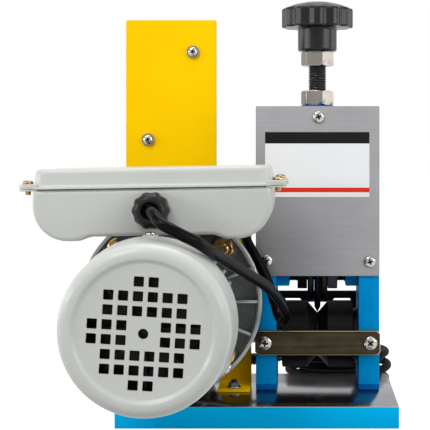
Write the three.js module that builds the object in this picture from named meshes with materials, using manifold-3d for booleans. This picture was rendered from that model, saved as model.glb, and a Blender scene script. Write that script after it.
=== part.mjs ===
// Bench machine that strips the insulation from electric wire. A geared motor turns a knurled roller,
// and a free-running disc blade above it slits the wire that passes between them.
// Millimetres, +Z up, origin at the centre of the base plate's underside. The motor points along -Y.
import * as THREE from 'three';
import { mergeVertices } from 'three/addons/utils/BufferGeometryUtils.js';
import manifoldLibrary from 'manifold-3d';

const wasm = await manifoldLibrary();
wasm.setup();

const halfTurn = Math.PI;
const quarterTurn = halfTurn / 2;
const fullTurn = halfTurn * 2;
const weldDistance = 1e-3;

// Clearances, shared by everything that touches or runs
const seatGap = 0.3;
const runningGap = 0.35;
const cutOverrun = 1.5;

// How finely round shapes are cut into facets
const coarseSides = 12;
const roundSides = 20;
const fineSides = 32;
const cornerSteps = 3;
const hiddenCornerSteps = 1;
const boltSides = 8;
const threadSteps = 8;

// Base plate
const baseWidth = 210.8;
const baseDepth = 152.5;
const baseThickness = 16.4;
const baseEdge = 0.8;

// Frame: two uprights and a top plate, round a window that the wire passes through
const frameX = 45.5;
const frameY = 26.4;
const uprightThickness = 16.3;
const uprightDepth = 66;
const uprightHeight = 208.4;
const uprightEdge = 0.6;
const windowWidth = 65.1;
const topPlateThickness = 16;

// Cover plates on the near and far faces of the frame
const coverHeight = 133.6;
const rearCoverClearance = 18.5;
const coverThickness = 1.5;
const coverCorner = 1.2;
const coverDrop = 0.6;

// Guide bar below the window, on the near side
const guideBarWidth = 98.6;
const guideBarHeight = 19.2;
const guideBarThickness = 6;
const guideBarChamfer = 2.6;
const guideBarEdge = 0.5;
const guideBarRise = 38.2;
const guideScrewSpread = 82.8;
const panHeadRadius = 5.2;
const panHeadHeight = 3.4;
const panShankRadius = 2.5;
const guideScrewLength = 14;

// Infeed plate on the far side, with a slot that the wire goes in through
const infeedThickness = 4;
const infeedBottom = 22;
const infeedTop = 72;
const infeedCorner = 3;
const slotWidth = 56;
const slotBottom = 45;
const slotTop = 65.7;
const slotDropWidth = 24.7;
const slotDrop = 3.1;
const slotDropSlope = 2;

// Feed roller and its shaft
const rollerRise = 40.7;
const rollerRadius = 27;
const rollerLength = 57.4;
const rollerTeeth = 34;
const rollerToothDepth = 0.9;
const collarRadius = 20.5;
const grooveWidth = 16.6;
const grooveDepth = 9.5;
const feedShaftRadius = 7.5;
const feedShaftInset = 1;
const bearingRadius = 16;
const bearingWidth = 9;

// Blade, its hubs, nuts and shaft
const bladeRadius = 31;
const bladeThickness = 5;
const bladeBevel = 4;
const bladeTipGap = 0.4;
const bladeEdgeWidth = 0.4;
const bladeHubRadius = 22.4;
const bladeHubWidth = 5.2;
const bladeHubStep = 1.2;
const bladeShaftRadius = 6;
const shaftNutRadius = 13.5;
const shaftNutWidth = 7.8;

// Yoke that carries the blade up and down
const yokeArmWidth = 9.7;
const yokeArmWall = 2;
const yokeDepth = 40;
const bladeTopRoom = 2.4;
const liftTravel = 25;
const liftHeadroom = 6;
const yokeEdge = 0.5;

// Adjusting screw, its nuts and the knob
const screwRadius = 7;
const screwSeat = 26;
const screwEdge = 1;
const knobRise = 45.6;
const knobSocket = 12;
const lockWasherRadius = 13.6;
const lockWasherThickness = 1.2;
const screwNutRadius = 13.5;
const screwNutHeight = 11.7;
const screwNutTurn = THREE.MathUtils.degToRad(-12);
const nutChamfer = 1.2;
const knobHubRadius = 15.8;
const knobHubHeight = 19;
const knobHubFillet = 1;
const knobRadius = 28.9;
const knobGripHeight = 15;
const knobDomeHeight = 6.4;
const knobLobes = 12;
const knobLobeDepth = 2.2;
const knobLobeSteps = 4;
const knobEdge = 0.8;

// Worm gearbox
const gearboxX = -67.3;
const gearCentres = 33;
const gearModule = 1.87;
const wheelTeeth = 25;
const wheelWidth = 14;
const wheelBossRadius = 13;
const wheelBossReach = 4;
const wormPitchRadius = 9.6;
const wormLength = 26;
const wormBoreRadius = 12.6;
const toothBacklash = 0.5;
const toothFlankShare = 0.36;
const toothRootRoom = 0.4;
const gearboxDepth = 80;
const gearboxHeight = 97.6;
const gearboxWidth = 52;
const gearboxCorner = 11;
const gearboxEdge = 2;
const outputBossRadius = 33;
const outputBossReach = 5.5;
const chamberRoom = 1.7;
const wormBoreEnd = 30;
const inputNeckRadius = 28;
const inputFlangeRadius = 68.5;
const inputFlangeThickness = 10;

// Motor
const matingY = -32;
const flangeRadius = 70;
const flangeThickness = 9.7;
const flangeRimWidth = 3;
const flangeWeb = 3.6;
const flangeRibs = 16;
const flangeRibWidth = 2.6;
const flangeHubRadius = 46.5;
const boltCircleRadius = 57.5;
const boltBossRadius = 10.5;
const flangeBolts = 4;
const boltRadius = 4;
const boltHeadRadius = 7.8;
const boltHeadHeight = 6;
const boltTail = 3;
const motorFrameLength = 132;
const finTipRadius = 49.2;
const finRootRadius = 44;
const finCount = 30;
const finWidthShare = 0.34;
const finTaperShare = 0.7;
const motorBoreRadius = 39;
const statorInnerRadius = 27;
const statorLength = 78;
const rotorRadius = 26.3;
const motorShaftRadius = 7;
const wormShaftRadius = 5.2;
const shaftBearingGap = 0.4;
const rearShieldRadius = 56;
const rearShieldThickness = 8;
const rearShieldHub = 16;
const rearShieldHubReach = 6;
const rearShieldSpigot = 2.5;
const fanRadius = 48;
const fanPlate = 2;
const fanHubRadius = 12;
const fanVanes = 8;
const fanVaneHeight = 14;
const fanVaneThickness = 2;
const fanReach = 16;

// Fan cover and its grille
const coverRimRadius = 58.5;
const coverNoseRadius = 56.4;
const coverFlatRadius = 45;
const coverFlatDish = 0.8;
const coverOverlap = 4;
const coverLength = 48;
const coverNoseLength = 8.5;
const fanCoverWall = 1.5;
const grillePitch = 9.4;
const grilleSquare = 6.2;
const grilleTurn = THREE.MathUtils.degToRad(-3.4);
const grilleCentreRadius = 3.35;
const coverScrewLugWidth = 10;
const coverScrewLugHeight = 2;
const coverScrewLugLength = 9;
const coverScrews = 3;

// Terminal box on top of the motor
const boxWidth = 163.4;
const boxDepth = 110;
const boxFrontReach = 125;
const boxHeight = 35.6;
const boxRise = 54.5;
const boxLowerCorner = 24;
const boxCornerSteps = 4;
const boxWall = 2.5;
const boxEdge = 3;
const boxArchMargin = 41.7;
const boxArchSlope = 12;
const boxArchRise = 3;
const boxRoll = THREE.MathUtils.degToRad(0.95);
const boxOffset = -1.2;
const saddleHalf = 26;
const saddleInset = 14;
const lidHeight = 13.6;
const lidLip = 1.6;
const lidOverhang = 1.2;
const lidCorner = 9;
const lidShoulder = 1.6;
const lidWall = 2;
const earReach = 10.4;
const earRadius = 6;
const earThickness = 3.6;
const rimEarThickness = 1;
const earInset = 10;
const earHoleRadius = 2.3;
const capacitorRadius = 13;
const capacitorLength = 62;
const capacitorEdge = 1.2;

// Cable gland in the terminal box's near wall
const glandRise = 20.6;
const glandRadius = 12.75;
const glandReach = 15;
const glandNeckRadius = 9;
const glandNoseRadius = 8.6;
const glandDome = 5;
const glandLobes = 10;
const glandLobeDepth = 0.9;
const glandLobeSteps = 3;
const leadRadius = 4;

// Switch bracket
const bracketY = 13;
const bracketThickness = 2.5;
const bracketPanelLeft = -41.3;
const bracketPanelRight = 31.5;
const bracketTop = 294.6;
const bracketShoulderBottom = 101.6;
const bracketShoulderTop = 133.6;
const bracketLegLeft = 34.3;
const bracketLegRight = 59.6;
const bracketFootReach = 30.5;
const bracketCorner = 1.6;
const footBoltOffset = 23.5;
const footBoltRadius = 2.4;
const footBoltStand = 2.2;
const footNutRadius = 4.4;
const footNutHeight = 3;
const footWasherRadius = 5.7;
const footWasherThickness = 1;
const footBoltDepth = 11;

// Switch box and its buttons
const switchCentreX = -5.4;
const switchCentreRise = 233.6;
const switchWidth = 55;
const switchHeight = 100;
const switchDepth = 28;
const switchCorner = 5;
const switchWall = 2.5;
const buttonSpread = 42;
const buttonRadius = 11;
const buttonLength = 12;
const buttonStand = 5;
const buttonFlange = 1.6;
const buttonFlangeThickness = 1.8;
const buttonEdge = 1;
const bezelWidth = 2.4;
const bezelHeight = 1.2;
const switchScrewSpreadX = 36;
const switchScrewSpreadY = 70.6;
const switchBossRadius = 5;
const switchScrewRadius = 2;
const switchScrewHead = 4;
const switchScrewHeadHeight = 3;
const switchWasherRadius = 5.1;
const switchWasherThickness = 1.2;
const leadEntryX = 12;
const cordEntryX = -13;
const reliefRadius = 6.2;
const reliefTipRadius = 4.9;
const reliefLength = 24;
const reliefInsert = 2;

// Mains cord, its coil and plug
const cordRadius = 3.5;
const coilX = 63;
const coilY = 137;
const coilRadius = 46;
const coilLayers = 4;
const turnsPerLayer = 1.125;
const coilPitch = 7.6;
const coilStepsPerTurn = 24;
const coilSides = 6;
const tubeSides = 8;
const leadSteps = 40;
const cordSteps = 28;
const plugCordSteps = 10;
const plugWidth = 25;
const plugHeight = 21;
const plugLength = 32;
const plugCorner = 6;
const plugEdge = 2;
const plugNeckRadius = 7;
const plugNeckTipRadius = 4.9;
const plugNeckLength = 16;
const bladePinWidth = 6.4;
const bladePinThickness = 1.5;
const bladePinLength = 17;
const bladePinSpread = 12.7;
const earthPinRadius = 2.4;
const earthPinRise = 5;
const earthPinLength = 20;

// Heights and places that follow from the sizes above
const wormRise = rollerRise + gearCentres;
const bladeRise = rollerRise + rollerRadius - grooveDepth + bladeTipGap + bladeRadius;
const yokeArmBottom = bladeRise - bladeShaftRadius - runningGap - yokeArmWall;
const yokeBottom = bladeRise + bladeRadius + bladeTopRoom;
const yokeTop = uprightHeight - liftTravel - liftHeadroom;
const frameWidth = windowWidth + uprightThickness * 2;
const topPlateTop = uprightHeight + seatGap + topPlateThickness;
const coverTop = topPlateTop - coverDrop;
const rearCoverHeight = coverTop - infeedTop - rearCoverClearance;
const wormLead = Math.PI * gearModule;
const wheelPitchRadius = gearCentres - wormPitchRadius;
const switchFace = bracketThickness + seatGap + switchDepth;

// Finishes, one for each kind of surface
const finish = (color, roughness, metalness) =>
  new THREE.MeshStandardMaterial({ color, roughness, metalness });
const bareSteel = finish(0xb4b4b6, 0.35, 0.9);
const blueAnodised = finish(0x0081c4, 0.45, 0.3);
const brushedGrey = finish(0x97979a, 0.45, 0.6);
const bronze = finish(0x4a4330, 0.4, 0.6);
const blackOxide = finish(0x17171a, 0.5, 0.5);
const chrome = finish(0xd8d8da, 0.15, 1);
const motorGrey = finish(0xb7bbb5, 0.5, 0.1);
const castGrey = finish(0x5c5e5d, 0.55, 0.6);
const blackPlastic = finish(0x1b1b1e, 0.4, 0);
const yellowPaint = finish(0xf5c400, 0.5, 0.1);
const zincYellow = finish(0xb79a58, 0.3, 0.9);
const greenPlastic = finish(0x2f9e4b, 0.4, 0);
const redPlastic = finish(0xc4261d, 0.4, 0);
const copperWinding = finish(0x9a5b34, 0.5, 0.6);
const bronzeGear = finish(0xb28a45, 0.4, 0.8);
const whitePlastic = finish(0xd9d9d4, 0.5, 0);

// Bare mesh with merged corners and no empty triangles
function welded(geometry) {
  const bare = geometry.clone();
  bare.deleteAttribute('normal');
  bare.deleteAttribute('uv');
  const merged = mergeVertices(bare, weldDistance);
  const source = merged.index.array;
  const kept = [];
  for (let i = 0; i < source.length; i += 3) {
    const [a, b, c] = [source[i], source[i + 1], source[i + 2]];
    if (a !== b && b !== c && c !== a) kept.push(a, b, c);
  }
  const result = new THREE.BufferGeometry();
  result.setAttribute('position', merged.attributes.position);
  result.setIndex(kept);
  return result;
}

function solidFrom(geometry) {
  const clean = welded(geometry);
  return new wasm.Manifold(new wasm.Mesh({
    numProp: 3,
    vertProperties: new Float32Array(clean.attributes.position.array),
    triVerts: new Uint32Array(clean.index.array),
  }));
}

function geometryFrom(solid) {
  const mesh = solid.getMesh();
  const geometry = new THREE.BufferGeometry();
  geometry.setAttribute('position', new THREE.BufferAttribute(new Float32Array(mesh.vertProperties), 3));
  geometry.setIndex(Array.from(mesh.triVerts));
  return geometry;
}

function cut(body, ...tools) {
  return geometryFrom(tools.reduce((rest, tool) => rest.subtract(solidFrom(tool)), solidFrom(body)));
}

function joined(body, ...others) {
  return geometryFrom(others.reduce((whole, other) => whole.add(solidFrom(other)), solidFrom(body)));
}

function common(body, other) {
  return geometryFrom(solidFrom(body).intersect(solidFrom(other)));
}

// Every primitive stands on z = 0, centred on the z axis
function extruded(shape, height, steps = cornerSteps) {
  return new THREE.ExtrudeGeometry(shape, { depth: height, bevelEnabled: false, curveSegments: steps });
}

function bevelled(shape, height, edge, steps = cornerSteps, edgeSteps = 1) {
  const geometry = new THREE.ExtrudeGeometry(shape, {
    depth: height - edge * 2, bevelThickness: edge, bevelSize: edge, bevelOffset: -edge,
    bevelSegments: edgeSteps, curveSegments: steps,
  });
  return geometry.translate(0, 0, edge);
}

function block(width, depth, height) {
  return new THREE.BoxGeometry(width, depth, height).translate(0, 0, height / 2);
}

function cylinder(radius, height, sides = roundSides) {
  return new THREE.CylinderGeometry(radius, radius, height, sides)
    .rotateX(quarterTurn)
    .translate(0, 0, height / 2);
}

// A profile of [radius, height] pairs that goes up from the axis and back to it
function turned(profile, sides = roundSides) {
  const points = profile.map(([radius, height]) => new THREE.Vector2(radius, height));
  return new THREE.LatheGeometry(points, sides).rotateX(quarterTurn);
}

// Hexagonal prism with its corners taken off at the top, at the bottom or at both
function hexPrism(radius, height, topChamfer, bottomChamfer) {
  const prism = cylinder(radius, height, 6);
  const drum = turned([
    [0, 0], [radius - bottomChamfer, 0], [radius, bottomChamfer], [radius, height - topChamfer],
    [radius - topChamfer, height], [0, height],
  ], coarseSides);
  return common(prism, drum);
}

function rectangle(width, height) {
  return roundedRectangle(width, height, 0);
}

function roundedRectangle(width, height, radius) {
  const shape = new THREE.Shape();
  const x = width / 2 - radius;
  const y = height / 2 - radius;
  if (radius > 0) {
    shape.absarc(x, y, radius, 0, quarterTurn, false);
    shape.absarc(-x, y, radius, quarterTurn, halfTurn, false);
    shape.absarc(-x, -y, radius, halfTurn, halfTurn + quarterTurn, false);
    shape.absarc(x, -y, radius, halfTurn + quarterTurn, fullTurn, false);
    return shape;
  }
  return polygon([[x, y], [-x, y], [-x, -y], [x, -y]]);
}

function polygon(points) {
  return new THREE.Shape(points.map(([x, y]) => new THREE.Vector2(x, y)));
}

// A closed skin over rings of points, each ring going the same way round, with flat ends
function lofted(rings) {
  const count = rings[0].length;
  const positions = rings.flat().flatMap((point) => [point.x, point.y, point.z]);
  const faces = [];
  for (let ring = 0; ring < rings.length - 1; ring += 1) {
    for (let i = 0; i < count; i += 1) {
      const next = (i + 1) % count;
      const [a, b] = [ring * count + i, ring * count + next];
      faces.push(a, b, b + count, a, b + count, a + count);
    }
  }
  const last = (rings.length - 1) * count;
  for (let i = 1; i < count - 1; i += 1) {
    faces.push(0, i + 1, i, last, last + i, last + i + 1);
  }
  const geometry = new THREE.BufferGeometry();
  geometry.setAttribute('position', new THREE.Float32BufferAttribute(positions, 3));
  geometry.setIndex(faces);
  return geometry;
}

const alongX = (geometry) => geometry.rotateY(quarterTurn);
const alongY = (geometry) => geometry.rotateX(-quarterTurn);

function piece(name, geometry, material, x = 0, y = 0, z = 0) {
  const mesh = new THREE.Mesh(welded(geometry), material);
  mesh.name = name;
  mesh.position.set(x, y, z);
  return mesh;
}

// Base plate, drilled for the bracket's foot bolt
function basePlate() {
  const plate = bevelled(rectangle(baseWidth, baseDepth), baseThickness, baseEdge);
  const boltX = gearboxX + (bracketLegLeft + bracketLegRight) / 2;
  const boltHole = cylinder(footBoltRadius + seatGap, footBoltDepth + cutOverrun * 2, coarseSides)
    .translate(boltX, bracketY - footBoltOffset, baseThickness - footBoltDepth - seatGap - cutOverrun);
  return piece('base_plate', cut(plate, boltHole), blueAnodised);
}

// Stands a shape up so that its drawing's y is height and its thickness comes towards the camera side
const facing = (geometry) => geometry.rotateX(quarterTurn);

// Uprights: slabs with a through seat for the roller bearing and a hole for the guide bar's screw
function upright(name, side) {
  const slab = bevelled(rectangle(uprightThickness, uprightDepth), uprightHeight - seatGap, uprightEdge)
    .translate(0, 0, seatGap);
  const bearingSeat = alongX(cylinder(bearingRadius + seatGap, uprightThickness + cutOverrun * 2))
    .translate(-uprightThickness / 2 - cutOverrun, 0, rollerRise);
  const holeDepth = guideScrewLength - guideBarThickness;
  const centre = (windowWidth + uprightThickness) / 2;
  const screwHole = alongY(cylinder(panShankRadius + seatGap, holeDepth + cutOverrun, coarseSides))
    .translate(side * (guideScrewSpread / 2 - centre), -uprightDepth / 2 - cutOverrun, guideBarRise);
  return piece(name, cut(slab, bearingSeat, screwHole), blueAnodised, side * centre);
}

function topPlate() {
  const plate = bevelled(rectangle(frameWidth, uprightDepth), topPlateThickness, uprightEdge);
  const screwHole = cylinder(screwRadius + runningGap, topPlateThickness + cutOverrun * 2)
    .translate(0, 0, -cutOverrun);
  return piece('top_plate', cut(plate, screwHole), blueAnodised, 0, 0, uprightHeight + seatGap);
}

// Cover plates close the space that the yoke slides in, above the window
function coverPlate(name, side, height) {
  const plate = facing(extruded(roundedRectangle(frameWidth, height, coverCorner), coverThickness));
  const y = side < 0 ? -uprightDepth / 2 - seatGap : uprightDepth / 2 + seatGap + coverThickness;
  return piece(name, plate, brushedGrey, 0, y, coverTop - height / 2);
}

function chamferedRectangle(width, height, chamfer) {
  const [x, y] = [width / 2, height / 2];
  return polygon([
    [x, y - chamfer], [x - chamfer, y], [chamfer - x, y], [-x, y - chamfer],
    [-x, chamfer - y], [chamfer - x, -y], [x - chamfer, -y], [x, chamfer - y],
  ]);
}

function guideBar() {
  const outline = chamferedRectangle(guideBarWidth, guideBarHeight, guideBarChamfer);
  const bar = facing(bevelled(outline, guideBarThickness, guideBarEdge));
  const holes = [-1, 1].map((side) => facing(
    cylinder(panShankRadius + seatGap, guideBarThickness + cutOverrun * 2, coarseSides)
      .translate(side * guideScrewSpread / 2, 0, -cutOverrun)));
  return piece('guide_bar', cut(bar, ...holes), bronze, 0, -uprightDepth / 2 - seatGap, guideBarRise);
}

// Pan head from its underside up, as shares of its radius and height
const panHeadShares = [[1, 0], [1, 0.4], [0.7, 1]];

// A screw whose head stands on z = 0 and whose shank goes down from it
function panScrew(headRadius, headHeight, shankRadius, length) {
  const head = panHeadShares.map(([across, up]) => [headRadius * across, headHeight * up]);
  return turned([[0, -length], [shankRadius, -length], [shankRadius, 0], ...head, [0, headHeight]],
    coarseSides);
}

function guideScrew(name, side) {
  const screw = facing(panScrew(panHeadRadius, panHeadHeight, panShankRadius, guideScrewLength));
  const y = -uprightDepth / 2 - guideBarThickness - seatGap * 2;
  return piece(name, screw, chrome, side * guideScrewSpread / 2, y, guideBarRise);
}

// Infeed plate: its slot has a lowered lip in the middle that leads the wire into the groove
function infeedPlate() {
  const middle = (infeedTop + infeedBottom) / 2;
  const outline = roundedRectangle(frameWidth, infeedTop - infeedBottom, infeedCorner);
  const [half, halfDrop] = [slotWidth / 2, slotDropWidth / 2];
  const [bottom, top] = [slotBottom - middle, slotTop - middle];
  outline.holes.push(polygon([
    [-half, bottom], [half, bottom], [half, top], [halfDrop + slotDropSlope, top],
    [halfDrop, top - slotDrop], [-halfDrop, top - slotDrop], [-halfDrop - slotDropSlope, top],
    [-half, top],
  ]));
  const plate = facing(extruded(outline, infeedThickness));
  return piece('infeed_plate', plate, blackOxide, 0, uprightDepth / 2 + seatGap + infeedThickness, middle);
}

// A ring of evenly spaced teeth, straight sided, drawn round the z axis
function toothedOutline(teeth, tipRadius, rootRadius, tipShare, rootShare) {
  const pitch = fullTurn / teeth;
  const corners = [[rootRadius, -rootShare], [tipRadius, -tipShare], [tipRadius, tipShare],
    [rootRadius, rootShare]];
  return polygon(Array.from({ length: teeth }, (_, tooth) => corners.map(([radius, share]) => {
    const angle = (tooth + share) * pitch;
    return [radius * Math.cos(angle), radius * Math.sin(angle)];
  })).flat());
}

// Knurled roller with a collar at each end and a groove under the blade
function feedRoller() {
  const serrated = Array.from({ length: rollerTeeth * 2 }, (_, i) => {
    const [radius, angle] = [rollerRadius - i % 2 * rollerToothDepth, i / rollerTeeth * halfTurn];
    return [radius * Math.cos(angle), radius * Math.sin(angle)];
  });
  const barrel = extruded(polygon(serrated), rollerLength).translate(0, 0, -rollerLength / 2);
  const span = windowWidth - runningGap * 2;
  const collars = cylinder(collarRadius, span).translate(0, 0, -span / 2);
  const grooveHalf = grooveWidth / 2 * (grooveDepth + cutOverrun) / grooveDepth;
  const groove = turned([
    [rollerRadius - grooveDepth, 0], [rollerRadius + cutOverrun, -grooveHalf],
    [rollerRadius + cutOverrun, grooveHalf], [rollerRadius - grooveDepth, 0],
  ]);
  const bore = cylinder(feedShaftRadius + seatGap, span + cutOverrun * 2)
    .translate(0, 0, -span / 2 - cutOverrun);
  return piece('feed_roller', alongX(cut(joined(barrel, collars), groove, bore)), blackOxide,
    0, 0, rollerRise);
}

// The roller's shaft runs on into the gearbox
function feedShaft() {
  const start = gearboxX - frameX - gearboxWidth / 2;
  const end = frameWidth / 2 - feedShaftInset;
  return piece('feed_shaft', alongX(cylinder(feedShaftRadius, end - start)), bareSteel,
    start, 0, rollerRise);
}

// A plain ring about the z axis, centred on z = 0
function ring(innerRadius, outerRadius, width, sides = roundSides) {
  const half = width / 2;
  return turned([[innerRadius, half], [innerRadius, -half], [outerRadius, -half], [outerRadius, half],
    [innerRadius, half]], sides);
}

function bearing(name, side) {
  const collar = ring(feedShaftRadius + seatGap, bearingRadius, bearingWidth);
  return piece(name, alongX(collar), chrome, side * (windowWidth + uprightThickness) / 2, 0, rollerRise);
}

// Blade unit: a disc sharpened on both sides, clamped between two hubs
function blade() {
  const inner = bladeShaftRadius + runningGap;
  const half = bladeThickness / 2;
  const disc = turned([
    [inner, half], [inner, -half], [bladeRadius - bladeBevel, -half], [bladeRadius, -bladeEdgeWidth / 2],
    [bladeRadius, bladeEdgeWidth / 2], [bladeRadius - bladeBevel, half], [inner, half],
  ], fineSides);
  return piece('blade', alongX(disc), bareSteel, 0, 0, bladeRise);
}

function bladeHub(name, side) {
  const inner = bladeShaftRadius + runningGap;
  const half = bladeHubWidth / 2;
  const hub = turned([
    [inner, half], [inner, -half], [bladeHubRadius - bladeHubStep, -half],
    [bladeHubRadius, bladeHubStep - half], [bladeHubRadius, half - bladeHubStep],
    [bladeHubRadius - bladeHubStep, half], [inner, half],
  ]);
  return piece(name, alongX(hub), blackOxide, side * (bladeThickness / 2 + seatGap + half), 0, bladeRise);
}

function boredNut(radius, height, boreRadius) {
  const bore = cylinder(boreRadius, height + cutOverrun * 2, coarseSides).translate(0, 0, -cutOverrun);
  return cut(hexPrism(radius, height, nutChamfer, nutChamfer), bore);
}

function shaftNut(name, side) {
  const nut = boredNut(shaftNutRadius, shaftNutWidth, bladeShaftRadius + seatGap)
    .translate(0, 0, -shaftNutWidth / 2);
  const x = bladeThickness / 2 + seatGap + bladeHubWidth + runningGap + shaftNutWidth / 2;
  return piece(name, alongX(nut), bareSteel, side * x, 0, bladeRise);
}

function bladeShaft() {
  const length = windowWidth - runningGap * 4;
  return piece('blade_shaft', alongX(cylinder(bladeShaftRadius, length)), blackOxide,
    -length / 2, 0, bladeRise);
}

// Yoke: a block that slides between the uprights, with an arm at each side of the blade
function yokeBlock() {
  const body = bevelled(rectangle(windowWidth - runningGap * 2, yokeDepth), yokeTop - yokeBottom,
    yokeEdge);
  const seat = cylinder(screwRadius + runningGap, screwSeat + cutOverrun)
    .translate(0, 0, yokeTop - yokeBottom - screwSeat);
  return piece('yoke_block', cut(body, seat), blueAnodised, 0, 0, yokeBottom);
}

function yokeArm(name, side) {
  const height = yokeBottom - seatGap - yokeArmBottom;
  const arm = bevelled(rectangle(yokeArmWidth, yokeDepth), height, yokeEdge);
  const shaftHole = alongX(cylinder(bladeShaftRadius + seatGap, yokeArmWidth + cutOverrun * 2))
    .translate(-yokeArmWidth / 2 - cutOverrun, 0, bladeRise - yokeArmBottom);
  const x = windowWidth / 2 - runningGap - yokeArmWidth / 2;
  return piece(name, cut(arm, shaftHole), blueAnodised, side * x, 0, yokeArmBottom);
}

// Adjusting screw with its knob, and the nut that locks it on the top plate
function adjustingScrew() {
  const bottom = yokeTop - screwSeat + seatGap;
  const length = topPlateTop + knobRise + knobSocket - seatGap - bottom;
  const screw = turned([
    [0, 0], [screwRadius - screwEdge, 0], [screwRadius, screwEdge],
    [screwRadius, length - screwEdge], [screwRadius - screwEdge, length], [0, length],
  ], coarseSides);
  return piece('adjusting_screw', screw, blackOxide, 0, 0, bottom);
}

function lobedOutline(radius, lobes, depth, stepsPerLobe) {
  const count = lobes * stepsPerLobe;
  return polygon(Array.from({ length: count }, (_, i) => {
    const angle = i / count * fullTurn;
    const reach = radius - depth * (1 - Math.cos(angle * lobes)) / 2;
    return [reach * Math.cos(angle), reach * Math.sin(angle)];
  }));
}

const knobDomeShares = [[0.86, 0.45], [0.6, 0.8], [0.3, 0.96]];

function knob() {
  const gripTop = knobHubHeight + knobGripHeight;
  const dome = knobDomeShares.map(([across, up]) => [knobRadius * across, gripTop + knobDomeHeight * up]);
  const drum = turned([
    [0, knobHubHeight], [knobRadius - knobEdge, knobHubHeight], [knobRadius, knobHubHeight + knobEdge],
    [knobRadius, gripTop - knobEdge], [knobRadius - knobEdge / 2, gripTop],
    ...dome, [0, gripTop + knobDomeHeight],
  ]);
  const star = extruded(lobedOutline(knobRadius, knobLobes, knobLobeDepth, knobLobeSteps),
    knobGripHeight + knobDomeHeight + cutOverrun * 2).translate(0, 0, knobHubHeight - cutOverrun);
  const hub = turned([
    [0, 0], [knobHubRadius, 0], [knobHubRadius, knobHubHeight - knobHubFillet],
    [knobHubRadius + knobHubFillet, knobHubHeight + cutOverrun], [0, knobHubHeight + cutOverrun],
  ]);
  const socket = cylinder(screwRadius + seatGap, knobSocket + cutOverrun, coarseSides)
    .translate(0, 0, -cutOverrun);
  const body = cut(joined(common(star, drum), hub), socket);
  return piece('knob', body, blackPlastic, 0, 0, topPlateTop + knobRise);
}

function screwNut(name, z) {
  const nut = boredNut(screwNutRadius, screwNutHeight, screwRadius + runningGap).rotateZ(screwNutTurn);
  return piece(name, nut, bareSteel, 0, 0, z);
}

function lockWasher() {
  const washer = ring(screwRadius + runningGap, lockWasherRadius, lockWasherThickness, coarseSides);
  return piece('lock_washer', washer, bareSteel, 0, 0, topPlateTop + seatGap + lockWasherThickness / 2);
}

function frameGroup() {
  const group = new THREE.Group();
  group.position.set(frameX, frameY, baseThickness);
  group.add(upright('upright_left', -1), upright('upright_right', 1), topPlate());
  group.add(coverPlate('front_cover', -1, coverHeight), coverPlate('rear_cover', 1, rearCoverHeight));
  group.add(guideBar(), infeedPlate());
  group.add(guideScrew('guide_screw_left', -1), guideScrew('guide_screw_right', 1));
  group.add(feedRoller(), feedShaft(), bearing('bearing_left', -1), bearing('bearing_right', 1));
  group.add(blade(), bladeHub('blade_hub_left', -1), bladeHub('blade_hub_right', 1), bladeShaft());
  group.add(shaftNut('shaft_nut_left', -1), shaftNut('shaft_nut_right', 1));
  group.add(yokeBlock(), yokeArm('yoke_arm_left', -1), yokeArm('yoke_arm_right', 1));
  group.add(adjustingScrew(), knob(), lockWasher());
  group.add(screwNut('lock_nut', topPlateTop + seatGap * 2 + lockWasherThickness));
  group.add(screwNut('knob_nut', topPlateTop + knobRise - seatGap - screwNutHeight));
  return group;
}

// Worm gear set. Both members have straight flanks, thinned by the backlash.
const toothHalf = wormLead / 4 - toothBacklash / 2;
const toothReach = gearModule + toothRootRoom;
const tipHalf = toothHalf - gearModule * toothFlankShare;
const rootHalf = toothHalf + toothReach * toothFlankShare;
const wheelTipRadius = wheelPitchRadius + gearModule;
const wheelRootRadius = wheelPitchRadius - toothReach;
const wormRootRadius = wormPitchRadius - toothReach;
const wormTipRadius = wormPitchRadius + gearModule;
const chamberRadius = wheelTipRadius + chamberRoom;
const inputFace = matingY - frameY;

// A ring of points at distance x along the wheel's axis. Teeth lean with the worm's thread.
function wheelRing(x) {
  const lean = x * wormLead / (fullTurn * wormPitchRadius * wheelPitchRadius);
  const [root, tip] = [wheelRootRadius, wheelTipRadius];
  const corners = [[root, -rootHalf / root], [tip, -tipHalf / tip], [tip, tipHalf / tip],
    [root, rootHalf / root]];
  return Array.from({ length: wheelTeeth }, (_, tooth) => corners.map(([radius, offset]) => {
    const angle = (tooth + 1 / 2) * fullTurn / wheelTeeth + offset + lean;
    return new THREE.Vector3(x, -radius * Math.sin(angle), radius * Math.cos(angle));
  })).flat();
}

function wormWheel() {
  const reach = wheelWidth / 2 + wheelBossReach;
  const boss = alongX(cylinder(wheelBossRadius, reach * 2, coarseSides)).translate(-reach, 0, 0);
  const bore = alongX(cylinder(feedShaftRadius + seatGap, (reach + cutOverrun) * 2, coarseSides))
    .translate(-reach - cutOverrun, 0, 0);
  const rim = lofted([wheelRing(-wheelWidth / 2), wheelRing(wheelWidth / 2)]);
  return piece('worm_wheel', cut(joined(rim, boss), bore), bronzeGear, 0, 0, rollerRise);
}

// One start of thread, a section swept along its helix round the y axis and sunk into the core
function wormThread() {
  const turns = wormLength / wormLead + 2;
  const steps = Math.ceil(turns * threadSteps);
  const base = wormRootRadius - toothRootRoom;
  const section = [[rootHalf, base], [tipHalf, wormTipRadius], [-tipHalf, wormTipRadius], [-rootHalf, base]];
  const rings = Array.from({ length: steps + 1 }, (_, i) => {
    const turn = (i / steps - 1 / 2) * turns;
    const angle = turn * fullTurn;
    return section.map(([along, radius]) => new THREE.Vector3(radius * Math.sin(angle),
      (turn + 1 / 2) * wormLead + along, radius * Math.cos(angle)));
  });
  return lofted(rings);
}

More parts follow.
